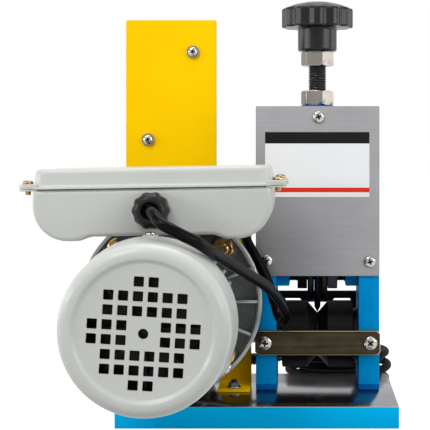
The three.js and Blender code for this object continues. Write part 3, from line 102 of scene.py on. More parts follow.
def rounded(points: Sequence[Point2], radius: float | Sequence[float], closed: bool = True,
            steps: int = 5) -> list[Point2]:
    """A polyline with its corners rounded.

    Args:
        points: the corners.
        radius: one radius for every corner, or one for each.
        closed: whether the last corner joins the first.
        steps: facets in each rounding.

    Returns:
        The points of the rounded line.
    """
    count = len(points)
    radii = [radius] * count if isinstance(radius, (int, float)) else list(radius)
    line: list[Point2] = []
    for i, corner in enumerate(points):
        here = Vector(corner)
        if radii[i] <= 0 or (not closed and i in (0, count - 1)):
            line.append((here.x, here.y))
            continue
        back, ahead = Vector(points[i - 1]) - here, Vector(points[(i + 1) % count]) - here
        half = back.angle(ahead) / 2
        reach = min(radii[i] / math.tan(half), back.length * 0.499, ahead.length * 0.499)
        start, end = here + back.normalized() * reach, here + ahead.normalized() * reach
        for k in range(steps + 1):
            t = k / steps
            line.append(tuple(start * (1 - t) ** 2 + here * 2 * t * (1 - t) + end * t ** 2))
    return line


def rectangle(width: float, height: float, corner: float = 0.0, steps: int = 5,
              centre: Point2 = (0.0, 0.0)) -> list[Point2]:
    """Outline of a rectangle with rounded corners, anticlockwise."""
    x, y = width / 2, height / 2
    corners = [(x, y), (-x, y), (-x, -y), (x, -y)]
    return [(px + centre[0], py + centre[1]) for px, py in rounded(corners, corner, steps=steps)]


def arc(x: float, y: float, radius: float, start: float, end: float, steps: int) -> list[Point2]:
    """Points of an arc round a centre, from one angle to another."""
    angles = [math.radians(start + (end - start) * k / steps) for k in range(steps + 1)]
    return [(x + radius * math.cos(a), y + radius * math.sin(a)) for a in angles]


def rod(radius: float, low: float, high: float) -> list[Point2]:
    """Profile of a plain round rod, for turning."""
    return [(0, low), (radius, low), (radius, high), (0, high)]


def mirrored(half: Sequence[Point2]) -> list[Point2]:
    """Profile that is the same on both sides of height 0, from its upper half."""
    return [*[(radius, -height) for radius, height in half], *reversed(half)]


def ribs(count: int, first: Point2, pitch: Point2, width: float, groove_end: float,
         depth: float) -> list[Point2]:
    """Profile of round ribs on a sleeve, for turning.

    Args:
        count: how many ribs.
        first: radius and height at which the first one starts.
        pitch: what radius and height grow by from rib to rib.
        width: each rib's width.
        groove_end: where the groove after a rib ends, from the rib's start.
        depth: the groove's depth.

    Returns:
        Radius and height pairs.
    """
    slope, line = 0.2, []
    for k in range(count):
        radius, low = first[0] + k * pitch[0], first[1] + k * pitch[1]
        line += [(radius, low), (radius, low + width), (radius - depth, low + width + slope),
                 (radius - depth, low + groove_end)]
    return line


def centripetal(points: Sequence[Vector], spacing: float) -> list[Vector]:
    """A smooth line through points, as a centripetal Catmull-Rom curve.

    Args:
        points: what the line goes through.
        spacing: about how far apart its own points lie.

    Returns:
        Points along the line, from the first to the last.
    """
    ends = [points[0] * 2 - points[1], *points, points[-1] * 2 - points[-2]]
    line = [points[0]]
    for a, b, c, d in zip(ends, ends[1:], ends[2:], ends[3:]):
        gaps = [max((q - p).length, 1e-6) ** 0.5 for p, q in ((a, b), (b, c), (c, d))]
        first = ((b - a) / gaps[0] - (c - a) / (gaps[0] + gaps[1]) + (c - b) / gaps[1]) * gaps[1]
        last = ((c - b) / gaps[1] - (d - b) / (gaps[1] + gaps[2]) + (d - c) / gaps[2]) * gaps[1]
        steps = max(1, round((c - b).length / spacing))
        for k in range(1, steps + 1):
            t = k / steps
            line.append(b * (2 * t ** 3 - 3 * t ** 2 + 1) + first * (t ** 3 - 2 * t ** 2 + t)
                        + c * (3 * t ** 2 - 2 * t ** 3) + last * (t ** 3 - t ** 2))
    return line


def linked(name: str, data: bpy.types.ID) -> Piece:
    """An object in the scene that shows a mesh, a curve, a lamp or a camera."""
    made = bpy.data.objects.new(name, data)
    bpy.context.scene.collection.objects.link(made)
    return made


class Drawing:
    """A mesh under construction, in millimetres."""

    def __init__(self) -> None:
        """Starts with nothing drawn."""
        self.mesh = bmesh.new()

    def loft(self, rings: Sequence[Sequence[Vector]], closed: bool = False) -> Drawing:
        """Adds a skin over rings of points.

        Args:
            rings: each ring's points, as many in each, or one point where the skin comes to a tip.
            closed: whether the last ring joins the first, in place of end faces.

        Returns:
            The drawing.
        """
        made = [[self.mesh.verts.new(point) for point in ring] for ring in rings]
        pairs = list(zip(made, made[1:])) + ([(made[-1], made[0])] if closed else [])
        for lower, upper in pairs:
            count = max(len(lower), len(upper))
            for i in range(count):
                j = (i + 1) % count
                if len(lower) == 1:
                    corners = [lower[0], upper[j], upper[i]]
                elif len(upper) == 1:
                    corners = [lower[i], lower[j], upper[0]]
                else:
                    corners = [lower[i], lower[j], upper[j], upper[i]]
                self.mesh.faces.new(corners)
        if not closed:
            for ring in (made[0][::-1], made[-1]):
                if len(ring) > 2:
                    self.mesh.faces.new(ring)
        return self

    def lathe(self, profile: Sequence[Point2], place: Matrix, sides: int = 96, closed: bool = False,
              shape: Callable[[float], float] = lambda angle: 0.0, shares: Sequence[float] = ()) -> Drawing:
        """Adds a turned form.

        Args:
            profile: radius and height pairs, from the axis and back to it unless closed.
            place: where it stands.
            sides: facets round it.
            closed: whether the profile closes on itself, clear of the axis.
            shape: what to add to the radius at an angle in radians, for lobes.
            shares: how much of shape each profile point takes, where it has one.

        Returns:
            The drawing.
        """
        rings = []
        for (radius, height), share in zip(profile, shares or [0.0] * len(profile)):
            if radius < 1e-6:
                rings.append([place @ Vector((0, 0, height))])
                continue
            angles = [i / sides * FULL_TURN for i in range(sides)]
            reaches = [radius + shape(angle) * share for angle in angles]
            rings.append([place @ Vector((reach * math.cos(angle), reach * math.sin(angle), height))
                          for reach, angle in zip(reaches, angles)])
        return self.loft(rings, closed)

    def prism(self, outline: Sequence[Point2], low: float, high: float, place: Matrix = Matrix()) -> Drawing:
        """Adds an outline stretched from one height to another."""
        return self.loft([[place @ Vector((x, y, z)) for x, y in outline] for z in (low, high)])

    def as_object(self, name: str, *finishes: Finish) -> Piece:
        """The drawing as an object in metres, its faces outwards, with a material slot for each finish."""
        bmesh.ops.recalc_face_normals(self.mesh, faces=self.mesh.faces[:])
        self.mesh.transform(Matrix.Scale(MM, 4))
        mesh = bpy.data.meshes.new(name)
        self.mesh.to_mesh(mesh)
        self.mesh.free()
        return painted(linked(name, mesh), *finishes)


def painted(made: Piece, *finishes: Finish) -> Piece:
    """Gives an object its finishes, one for each slot, and keeps each face's slot where it has as many."""
    slots = made.data.materials
    if len(slots) != len(finishes):
        slots.clear()
        for _ in finishes:
            slots.append(None)
    for i, finish in enumerate(finishes):
        slots[i] = finish.material()
    return made


def turned(name: str, profile: Sequence[Point2], place: Matrix, sides: int, *finishes: Finish,
           closed: bool = False) -> Piece:
    """A turned form as an object, with what Drawing.lathe takes."""
    return Drawing().lathe(profile, place, sides, closed).as_object(name, *finishes)


def slab(name: str, outline: Sequence[Point2], low: float, high: float, place: Matrix = Matrix(),
         *finishes: Finish) -> Piece:
    """An outline stretched between two heights, as an object."""
    return Drawing().prism(outline, low, high, place).as_object(name, *finishes)


def flatten(made: Piece) -> Piece:
    """Turns an object's modifiers into its plain mesh."""
    bpy.context.view_layer.update()
    mesh = bpy.data.meshes.new_from_object(made.evaluated_get(bpy.context.evaluated_depsgraph_get()))
    made.modifiers.clear()
    made.data = mesh
    mesh.name = made.name
    return made


def bevelled(made: Piece, width: float, segments: int = 2, limit: float = 35.0,
             edge_slot: int = -1) -> Piece:
    """Rounds an object's sharp edges.

    Args:
        made: the object.
        width: how wide the rounding is.
        segments: facets across it.
        limit: the least angle of an edge that is rounded.
        edge_slot: the material slot of the rounding, where it has its own.

    Returns:
        The object.
    """
    modifier = made.modifiers.new("edges", "BEVEL")
    modifier.width, modifier.segments = width * MM, segments
    modifier.limit_method, modifier.angle_limit = "ANGLE", math.radians(limit)
    modifier.material = edge_slot
    return flatten(made)


def carved(made: Piece, tool: Piece, operation: str = "DIFFERENCE") -> Piece:
    """Cuts an object with another, which is then deleted."""
    modifier = made.modifiers.new("cut", "BOOLEAN")
    modifier.operation, modifier.solver, modifier.object = operation, "EXACT", tool
    modifier.material_mode = "TRANSFER"
    flatten(made)
    bpy.data.objects.remove(tool)
    return made


def bored(made: Piece, radius: float, low: float, high: float, place: Matrix, sides: int = 48) -> Piece:
    """Bores a round hole in an object, between two heights of a place."""
    return carved(made, turned("bore", rod(radius, low, high), place, sides))


def smoothed(made: Piece, angle: float = 32.0) -> Piece:
    """Shades an object smooth except over edges sharper than an angle."""
    made.data.shade_smooth()
    made.data.set_sharp_from_angle(angle=math.radians(angle))
    return made


def merged(name: str, pieces: Sequence[Piece]) -> Piece:
    """Joins plain meshes into one object, keeping their materials."""
    slots: list[bpy.types.Material] = []
    whole = bmesh.new()
    for piece in pieces:
        first = len(whole.faces)
        whole.from_mesh(piece.data)
        whole.faces.ensure_lookup_table()
        own = list(piece.data.materials) or [None]
        for face in whole.faces[first:]:
            used = own[min(face.material_index, len(own) - 1)]
            if used not in slots:
                slots.append(used)
            face.material_index = slots.index(used)
        bpy.data.objects.remove(piece)
    mesh = bpy.data.meshes.new(name)
    whole.to_mesh(mesh)
    whole.free()
    for used in slots:
        mesh.materials.append(used)
    return linked(name, mesh)


def dressed(made: Piece, nodes: str, *finishes: Finish, body: str = "machine") -> Piece:
    """Gives a finished piece its materials and its place in the machine.

    Args:
        made: the piece.
        nodes: the solids that it is shown in place of, with spaces between them.
        finishes: its finish, then those of its further material slots.
        body: the body that it moves with.

    Returns:
        The piece.
    """
    painted(made, *finishes)
    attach(made, body)
    if nodes:
        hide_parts(*nodes.split())
    LOG.info("%s: %d faces on %s", made.name, len(getattr(made.data, "polygons", ())), body)
    return made


# Node trees

class Tree:
    """A node tree under construction."""

    def __init__(self, tree: bpy.types.NodeTree) -> None:
        """Takes up a tree."""
        self.tree = tree

    def feed(self, node: bpy.types.Node, inputs: dict[str | int, object]) -> None:
        """Gives each named input of a node a socket or a value."""
        for name, value in inputs.items():
            if isinstance(value, Socket):
                self.tree.links.new(value, node.inputs[name])
            else:
                node.inputs[name].default_value = value

    def step(self, kind: str, inputs: dict[str | int, object] | None = None,
             **settings: object) -> bpy.types.NodeOutputs:
        """Adds a node.

        Args:
            kind: the node's type, without its family where that is GeometryNode.
            inputs: what each input takes, a socket or a value.
            settings: properties of the node itself.

        Returns:
            The node's outputs.
        """
        family = "" if kind.startswith(("ShaderNode", "FunctionNode")) else "GeometryNode"
        node = self.tree.nodes.new(family + kind)
        for name, value in settings.items():
            setattr(node, name, value)
        self.feed(node, inputs or {})
        return node.outputs

    def math(self, operation: str, a: object, b: object, **settings: object) -> Socket:
        """Adds a sum, product or other arithmetic of two numbers."""
        return self.step("ShaderNodeMath", {0: a, 1: b}, operation=operation, **settings)[0]


def empty_tree(owner: bpy.types.World | bpy.types.Material) -> Tree:
    """The node tree of a world or a material, cleared."""
    owner.use_nodes = True
    owner.node_tree.nodes.clear()
    return Tree(owner.node_tree)


# Finishes

class Grain(Enum):
    """How a surface's fine structure runs: how far apart it is along X, Y and Z, as shares of its size."""

    EVEN = (1.0, 1.0, 1.0)
    ALONG_X = (60.0, 1.0, 1.0)
    ALONG_Y = (1.0, 60.0, 1.0)
    ALONG_Z = (1.0, 1.0, 60.0)


@dataclass(frozen=True)
class Finish:
    """One surface finish.

    Attributes:
        name: the finish's name.
        slot: the name of a material slot; not used.
        colour: its colour, as red, green and blue from 0 to 255.
        second: the colour that it varies towards.
        roughness: how blurred its reflections are.
        metallic: 1 for bare metal.
        coat: clear coat over it.
        grain: how its fine structure runs.
        grain_size: how large that structure is.
        bump: how high that structure is.
        blotch: how large its slow changes of colour are.
        uneven: how much roughness varies.
        specular: how strongly it reflects where it isn't metal.
        edge: how much of that is left where it is seen edge on, for metal.
    """

    name: str
    slot: str
    colour: Colour
    second: Colour
    roughness: float
    metallic: float = 0.0
    coat: float = 0.0
    grain: Grain = Grain.EVEN
    grain_size: float = 0.8
    bump: float = 0.01
    blotch: float = 40.0
    uneven: float = 0.08
    specular: float = 0.5
    edge: float = 1.0

    def material(self) -> bpy.types.Material:
        """The finish's material, made once, with its colour, roughness and bump from nodes."""
        known = bpy.data.materials.get(self.name)
        if known:
            return known
        material = bpy.data.materials.new(self.name)
        material.use_nodes = True
        tree = Tree(material.node_tree)
        where = tree.step("ShaderNodeTexCoord")["Object"]
        fine = self._noise(tree, where, self.grain_size, self.grain, 3.0)
        slow = self._noise(tree, where, self.blotch, Grain.EVEN, 2.0)
        spread = tree.step("ShaderNodeMapRange", {"Value": tree.math("MULTIPLY", fine, slow),
                                                  "From Min": 0.12, "From Max": 0.42})["Result"]
        shade = tree.step("ShaderNodeMix", {"Factor": spread, "A": linear(self.colour),
                                            "B": linear(self.second)}, data_type="RGBA")["Result"]
        gloss = tree.step("ShaderNodeMapRange", {
            "Value": slow, "To Min": max(self.roughness - self.uneven, 0.02),
            "To Max": min(self.roughness + self.uneven, 1.0)})["Result"]
        relief = tree.step("ShaderNodeBump", {"Distance": self.bump * MM, "Height": fine})["Normal"]
        tree.feed(material.node_tree.nodes["Principled BSDF"], {
            "Base Color": shade, "Roughness": gloss, "Normal": relief, "Metallic": self.metallic,
            "Coat Weight": self.coat, "Coat Roughness": 0.08, "Specular IOR Level": self.specular,
            "Specular Tint": (self.edge, self.edge, self.edge, 1.0)})
        return material

    @staticmethod
    def _noise(tree: Tree, where: Socket, size: float, grain: Grain, detail: float) -> Socket:
        """A noise of a size, stretched along the grain."""
        scale = [1 / (size * MM * share) for share in grain.value]
        fit = tree.step("ShaderNodeMapping", {"Vector": where, "Scale": scale})["Vector"]
        return tree.step("ShaderNodeTexNoise", {"Vector": fit, "Scale": 1.0, "Detail": detail})["Fac"]


def linear(colour: Colour) -> tuple[float, float, float, float]:
    """A colour written from 0 to 255 as Blender's linear numbers."""
    parts = [c / 255 for c in colour]
    parts = [c / 12.92 if c <= 0.04045 else ((c + 0.055) / 1.055) ** 2.4 for c in parts]
    return (parts[0], parts[1], parts[2], 1.0)


BLUE = Finish("blue_anodised_aluminium", "blue_anodised", (0, 154, 224), (0, 139, 210), 0.45,
              grain=Grain.ALONG_Z, grain_size=0.7, bump=0.006, blotch=30, specular=0.03)
# The deeper blue is painted shade on the uprights' feet, and it is also the lock washer's own colour.
DEEP_BLUE_AND_FOOT_SHADE = Finish("blue_anodised_foot", "blue_anodised", (0, 104, 186), (0, 94, 174), 0.4,
                   grain_size=0.7, bump=0.004, blotch=30, specular=0.03)
BASE_BLUE = Finish("blue_base_edge", "blue_base", (0, 186, 247), (0, 182, 243), 0.5, grain=Grain.ALONG_X,
                   grain_size=0.8, bump=0.003, blotch=60, specular=0.03)
BASE_TOP = Finish("polished_base_top", "blue_base", (176, 177, 182), (160, 161, 167), 0.17, 1.0,
                  grain=Grain.ALONG_Y, grain_size=0.7, bump=0.001, blotch=50, uneven=0.03, edge=0.65)
BRUSHED = Finish("brushed_cover", "brushed_plate", (154, 154, 156), (142, 142, 145), 0.5, 0.4,
                 grain=Grain.ALONG_X, grain_size=0.45, bump=0.006, blotch=55, specular=0.3)
BRONZE = Finish("dark_bronze_bar", "bronze_bar", (64, 58, 38), (39, 35, 24), 0.34, 0.7,
                grain=Grain.ALONG_X, grain_size=1.5, bump=0.02, blotch=14, specular=0.3)
# Bright bronze on the guide bar's bevels: a painted highlight.
BRONZE_EDGE_HIGHLIGHT = Finish("worn_bronze_edge", "bronze_bar", (190, 168, 116), (150, 132, 90), 0.3, 0.9,
                     grain_size=0.6, bump=0.005)
BLACK_STEEL = Finish("black_oxide_steel", "black_oxide", (20, 20, 22), (11, 11, 13), 0.42, 0.1,
                     grain_size=0.5, bump=0.01, blotch=12, specular=0.2)
CHROME = Finish("nickel_screws", "chrome_screw", (190, 187, 181), (150, 147, 142), 0.14, 1.0,
                grain_size=0.5, bump=0.003, blotch=6, uneven=0.05, edge=0.8)
STEEL = Finish("machined_steel", "bare_steel", (140, 134, 127), (122, 116, 110), 0.24, 1.0,
               grain=Grain.ALONG_X, grain_size=0.3, bump=0.004, blotch=14, edge=0.8)
# Bluish grey: the foot stud's nut, and on the right clamp nut a painted reflection.
GREY_NUT_AND_NUT_REFLECTION = Finish("grey_clamp_nut", "bare_steel", (114, 115, 130), (98, 99, 114), 0.35, 0.2, grain_size=0.4,
                  bump=0.004, blotch=10, specular=0.3)
ROD = Finish("oiled_screw_thread", "black_oxide", (50, 45, 40), (34, 31, 28), 0.36, 0.6, grain_size=0.5,
             bump=0.006, blotch=12, specular=0.4)
KNOB_BLACK = Finish("black_knob", "black_plastic", (17, 17, 19), (12, 12, 14), 0.3, grain_size=0.35,
                    bump=0.001, blotch=25, uneven=0.02, specular=0.27)
BLADE_STEEL = Finish("dark_tool_steel", "bare_steel", (38, 38, 44), (24, 24, 29), 0.28, 0.8,
                     grain_size=0.4, bump=0.004, blotch=12)
BLACK_PLASTIC = Finish("black_moulding", "black_plastic", (20, 20, 23), (14, 14, 17), 0.32,
                       grain_size=0.35, bump=0.01, blotch=25, specular=0.22)
CAST = Finish("grey_casting", "cast_grey", (84, 87, 86), (56, 59, 59), 0.5, 0.5, grain_size=0.9, bump=0.05,
              blotch=16, specular=0.3)
CAST_RIM = Finish("machined_casting_rim", "cast_grey", (156, 158, 158), (126, 129, 130), 0.38, 0.7,
                  grain_size=0.4, bump=0.006, blotch=18)
# Bright grey on the flange rim's rounded edges: a painted highlight.
CAST_EDGE_HIGHLIGHT = Finish("bright_casting_edge", "cast_grey", (212, 212, 210), (190, 190, 188), 0.3, 0.4,
                   grain_size=0.4, bump=0.004, blotch=18)
GEAR_BRONZE = Finish("gear_bronze", "bronze_gear", (190, 148, 80), (160, 120, 62), 0.32, 1.0, grain_size=0.6,
                     bump=0.006)
MOTOR_GREY = Finish("grey_motor_paint", "motor_grey", (201, 203, 198), (194, 197, 192), 0.36, coat=0.1,
                    grain_size=1.1, bump=0.008, blotch=60, uneven=0.04, specular=0.35)
WINDING = Finish("core_and_winding", "winding", (150, 92, 50), (110, 66, 36), 0.45, 0.5,
                 grain=Grain.ALONG_Y, grain_size=0.8, bump=0.05)
WHITE = Finish("white_panel", "white_plastic", (244, 245, 246), (238, 240, 242), 0.42, grain_size=0.6,
               bump=0.003, blotch=40)
PANEL_BLACK = Finish("black_band", "black_plastic", (14, 12, 12), (10, 9, 9), 0.5, grain_size=0.6,
                     bump=0.003, specular=0.15)
PANEL_RED = Finish("red_stripe", "red_plastic", (232, 50, 26), (224, 44, 22), 0.45, grain_size=0.6,
                   bump=0.003, specular=0.2)
YELLOW = Finish("yellow_powder_coat", "yellow_paint", (255, 205, 0), (252, 200, 0), 0.55, grain_size=0.7,
                bump=0.01, blotch=70, uneven=0.04, specular=0.03)
GREEN = Finish("green_button", "green_plastic", (40, 158, 76), (34, 146, 68), 0.28, coat=0.3, bump=0.004)
RED = Finish("red_button", "red_plastic", (200, 38, 30), (188, 32, 26), 0.28, coat=0.3, bump=0.004)
BRASS = Finish("yellow_zinc", "zinc_yellow", (184, 156, 106), (116, 88, 54), 0.16, 1.0, grain_size=0.4,
               bump=0.005, blotch=4)
RUBBER = Finish("black_cord_sheath", "cord_black", (11, 11, 14), (7, 7, 10), 0.17,
                grain_size=0.5, bump=0.002, blotch=18, uneven=0.03, specular=0.06)
MAINS = Finish("matt_mains_sheath", "cord_black", (14, 14, 16), (8, 8, 11), 0.55, grain_size=0.5, bump=0.01,
               blotch=18, specular=0.04)
# Near black: the rotor, and on the left clamp nut painted shade.
DARK_STEEL_AND_NUT_SHADE = Finish("dark_nut", "bare_steel", (34, 34, 37), (24, 24, 27), 0.35, 0.5, grain_size=0.4,
                    bump=0.006, specular=0.2)
# Near white on the nuts' bevelled edges: a painted highlight.
NUT_EDGE_HIGHLIGHT = Finish("bright_nut_edge", "bare_steel", (240, 237, 231), (226, 222, 215), 0.3, 0.8, grain_size=0.4,
                  bump=0.002)
# Dark grey in the screws' crosses: painted shade.
RECESS_SHADE = Finish("dark_recess", "chrome_screw", (62, 60, 57), (46, 44, 42), 0.5, grain_size=0.4, bump=0.004,
                specular=0.1)


# Geometry node recipes

class Recipe(Tree):
    """A geometry node tree with named inputs."""

    def __init__(self, name: str) -> None:
        """Starts a tree with one geometry input and one geometry output."""
        super().__init__(bpy.data.node_groups.new(name, "GeometryNodeTree"))
        for way in ("INPUT", "OUTPUT"):
            self.tree.interface.new_socket("Geometry", in_out=way, socket_type="NodeSocketGeometry")
        self.source = self.tree.nodes.new("NodeGroupInput")
        self.sink = self.tree.nodes.new("NodeGroupOutput")

    def takes(self, **kinds: str) -> list[Socket]:
        """Adds named inputs of given kinds and gives their sockets."""
        for name, kind in kinds.items():
            self.tree.interface.new_socket(name, in_out="INPUT", socket_type=f"NodeSocket{kind}")
        return [self.source.outputs[name] for name in kinds]

    def copies(self, piece: Socket, points: Socket, **turned_by: Socket) -> Socket:
        """Stands a copy of an object on each point."""
        shape = self.step("ObjectInfo", {"Object": piece, "As Instance": True})["Geometry"]
        return self.step("InstanceOnPoints", {"Points": points, "Instance": shape, **turned_by})[0]

    def ends(self, geometry: Socket, material: Socket) -> Recipe:
        """Ends the tree: realizes the copies and sets their material."""
        real = self.step("RealizeInstances", {"Geometry": geometry})[0]
        self.feed(self.sink, {0: self.step("SetMaterial", {"Geometry": real, "Material": material})[0]})
        return self

    def run(self, start: Piece, **values: object) -> Piece:
        """Runs the tree on an object, with its named inputs, and keeps the result as its plain mesh."""
        modifier = start.modifiers.new(self.tree.name, "NODES")
        modifier.node_group = self.tree
        for item in self.tree.interface.items_tree:
            if item.in_out == "INPUT" and item.name in values:
                modifier[item.identifier] = values[item.name]
        return flatten(start)


class Workshop:
    """The recipes that several pieces share, each built once."""

    def __init__(self) -> None:
        """Builds the recipes."""
        self.round, self.at_points = self._round(), self._at_points()
        self.thread, self.grille = self._thread(), self._grille()

    @staticmethod
    def _round() -> Recipe:
        """Copies of a piece, evenly round the Z axis."""
        recipe = Recipe("copies_in_a_circle")
        piece, count, start, material = recipe.takes(Piece="Object", Count="Int", Start="Float",
                                                     Material="Material")
        points = recipe.step("MeshCircle", {"Vertices": count, "Radius": 1e-6})[0]
        pitch = recipe.math("DIVIDE", FULL_TURN, count)
        steps = recipe.math("MULTIPLY", recipe.step("InputIndex")[0], pitch)
        angle = recipe.step("ShaderNodeCombineXYZ", {"Z": recipe.math("ADD", steps, start)})[0]
        return recipe.ends(recipe.copies(piece, points, Rotation=angle), material)

    @staticmethod
    def _at_points() -> Recipe:
        """A copy of a piece at each point of a mesh."""
        recipe = Recipe("copies_at_points")
        piece, material = recipe.takes(Piece="Object", Material="Material")
        return recipe.ends(recipe.copies(piece, recipe.source.outputs["Geometry"]), material)

    @staticmethod
    def _thread() -> Recipe:
        """A screw thread's ridge round the Z axis."""
        recipe = Recipe("screw_thread")
        radius, pitch, length, material = recipe.takes(Radius="Float", Pitch="Float", Length="Float",
                                                       Material="Material")
        helix = recipe.step("CurveSpiral", {
            "Resolution": 28, "Rotations": recipe.math("DIVIDE", length, pitch), "Start Radius": radius,
            "End Radius": radius, "Height": length})[0]
        ridge = recipe.step("CurvePrimitiveCircle", {"Resolution": 8,
                                                     "Radius": recipe.math("MULTIPLY", pitch, 0.48)})[0]
        skin = recipe.step("CurveToMesh", {"Curve": helix, "Profile Curve": ridge, "Fill Caps": True})[0]
        return recipe.ends(skin, material)

    @staticmethod
    def _grille() -> Recipe:
        """Square holes on a grid, cut where they lie between two distances from the middle."""
        recipe = Recipe("square_grille")
        piece, pitch, inner, outer, angle, height, drop, material = recipe.takes(
            Piece="Object", Pitch="Float", Inner="Float", Outer="Float", Turn="Float", Height="Float",
            Drop="Float", Material="Material")
        holes = 8
        side = recipe.math("MULTIPLY", pitch, holes - 1.0)
        grid = recipe.step("MeshGrid", {"Size X": side, "Size Y": side, "Vertices X": holes,
                                        "Vertices Y": holes})[0]
        reach = recipe.step("ShaderNodeVectorMath", {0: recipe.step("InputPosition")[0]},
                            operation="LENGTH")["Value"]
        outside = recipe.step("FunctionNodeBooleanMath", {
            0: recipe.step("FunctionNodeCompare", {0: reach, 1: inner}, operation="LESS_THAN")[0],
            1: recipe.step("FunctionNodeCompare", {0: reach, 1: outer}, operation="GREATER_THAN")[0],
        }, operation="OR")[0]
        kept = recipe.step("DeleteGeometry", {"Geometry": grid, "Selection": outside}, domain="POINT")[0]
        moved = recipe.step("Transform", {
            "Geometry": recipe.copies(piece, kept),
            "Translation": recipe.step("ShaderNodeCombineXYZ", {"Y": drop, "Z": height})[0],
            "Rotation": recipe.step("ShaderNodeCombineXYZ", {"Z": angle})[0]})[0]
        tools = recipe.step("RealizeInstances", {"Geometry": moved})[0]
        pierced = recipe.step("MeshBoolean", {0: recipe.source.outputs["Geometry"], 1: tools},
                              operation="DIFFERENCE", solver="EXACT")[0]
        return recipe.ends(pierced, material)

    def copies_round(self, name: str, piece: Piece, count: int, finish: Finish, place: Matrix,
                     start: float = 0.0) -> Piece:
        """Copies of a piece round the Z axis, then put in place.

        Args:
            name: the result's name.
            piece: what is copied, drawn at its place for angle 0. It is deleted.
            count: how many copies.
            finish: their finish.
            place: where their axis stands in the machine.
            start: the first copy's angle.

        Returns:
            The copies as one plain mesh.
        """
        made = self.round.run(linked(name, bpy.data.meshes.new(name)), Piece=piece, Count=count,
                              Start=math.radians(start), Material=finish.material())
        bpy.data.objects.remove(piece)
        made.data.transform(in_metres(place))
        return made

    def copies_at(self, name: str, piece: Piece, places: Sequence[Point3], finish: Finish,
                  turned_by: Matrix) -> Piece:
        """Copies of a piece at places in the machine, all turned alike. The piece is deleted."""
        piece.data.transform(turned_by)
        mesh = bpy.data.meshes.new(name)
        mesh.from_pydata([[c * MM for c in place] for place in places], [], [])
        made = self.at_points.run(linked(name, mesh), Piece=piece, Material=finish.material())
        bpy.data.objects.remove(piece)
        return made

    def screws_at(self, name: str, screw: PanScrew, places: Sequence[Point3], finish: Finish,
                  turned_by: Matrix) -> Piece:
        """Pan screws at places in the machine, all turned alike.

        Args:
            name: the result's name.
            screw: what they are like.
            places: where they stand.
            finish: their finish.
            turned_by: how they are turned from facing up.

        Returns:
            The screws as one plain mesh, with the painted shade in their crosses in its second slot.
        """
        heads = self.copies_at(name, screw.head(), places, finish, turned_by)
        recess_shades = self.copies_at(f"{name}_recesses", screw.recess(), places, RECESS_SHADE, turned_by)
        return smoothed(merged(name, [heads, recess_shades]), PanScrew.smooth)

    def threaded(self, name: str, radius: float, pitch: float, length: float, finish: Finish,
                 place: Matrix) -> Piece:
        """The ridge of a screw thread, put in place."""
        made = self.thread.run(linked(name, bpy.data.meshes.new(name)), Radius=radius * MM,
                               Pitch=pitch * MM, Length=length * MM, Material=finish.material())
        made.data.transform(in_metres(place))
        return made


@dataclass(frozen=True)
class PanScrew:
    """A cross-recessed pan screw on its own origin, its top towards +Z.

    Attributes:
        radius: the head's radius.
        height: the head's height.
        depth: how deep the cross is.
        shank: the shank's radius, or 0 where none shows below the head.
        length: the shank's length.
        smooth: the least angle of an edge that stays sharp.
        cross: how far the cross is turned.
    """

    radius: float
    height: float
    depth: float
    shank: float = 0.0
    length: float = 0.0
    smooth: float = 28.0
    cross: float = 20.0

    def head(self) -> Piece:
        """The screw, with the cross cut into its head."""
        edge = 0.42
        profile = [(0.0, 0.0), (self.radius * 0.94, 0.0), (self.radius, self.height * 0.12),
                   (self.radius, self.height * edge)]
        profile += [(self.radius * math.cos(a), self.height * (edge + (1 - edge) * math.sin(a)))
                    for a in [k * math.pi / 16 for k in range(1, 8)]]
        head = turned("pan_head", [*profile, (0.0, self.height)], Matrix(), 40)
        arm, wide = self.radius * 0.56, self.radius * 0.16
        mouth = rectangle(arm * 2, wide * 2, wide * 0.8, 3)
        foot = [(x * 0.45, y * 0.6) for x, y in mouth]
        levels = ((foot, self.height - self.depth), (mouth, self.height + 0.1))
        for angle in (self.cross, self.cross + 90):
            rings = [[turn(angle) @ Vector((x, y, z)) for x, y in ring] for ring, z in levels]
            carved(head, Drawing().loft(rings).as_object("cross"))
        if not self.shank:
            return smoothed(head, self.smooth)
        profile = [(0, -self.length), (self.shank * 0.8, -self.length), (self.shank, -self.length + 0.5),
                   (self.shank, 0.2), (0, 0.2)]
        return smoothed(merged("screw", [head, turned("shank", profile, Matrix(), 24)]), self.smooth)

    def recess(self) -> Piece:
        """A dark floor in the head's cross, painted as the shade in it."""
        floor = Drawing()
        bar = rectangle(self.radius * 0.66, self.radius * 0.22, self.radius * 0.1, 3)
        for angle in (self.cross, self.cross + 90):
            floor.prism(bar, self.height - self.depth - 0.1, self.height - self.depth * 0.6, turn(angle))
        return floor.as_object("recess_floor")


def hexagon(radius: float, low: float, high: float, chamfer: float, place: Matrix,
            bore: float = 0.0, finishes: Sequence[Finish] = ()) -> Piece:
    """A hexagonal nut or bolt head with its corners turned off.

    Args:
        radius: from its middle to a corner.
        low, high: its faces' heights.
        chamfer: how far the corners are turned down.
        place: where it stands.
        bore: its hole's radius, or 0.
        finishes: its own finish and that of its edges, a bright one painted as a highlight, where they
            differ.

    Returns:
        The nut as an object.
    """
    nut = slab("hexagon", arc(0, 0, radius, 0, 300, 5), low, high, place)
    slope, outer = chamfer * 0.6, radius + 0.01
    drum = turned("drum", [(0, low), (radius - chamfer, low), (outer, low + slope), (outer, high - slope),
                           (radius - chamfer, high), (0, high)], place, 72)
    carved(nut, drum, "INTERSECT")
    if bore:
        bored(nut, bore, low - 1, high + 1, place)
    if not finishes:
        return smoothed(bevelled(nut, 0.12, 1, 20), 20)
    nut.data.materials.clear()
    # The bevels take the second finish: a painted highlight along the nut's edges.
    return smoothed(bevelled(painted(nut, *finishes), 0.4, 2, 20, edge_slot=1), 20)


# Studio

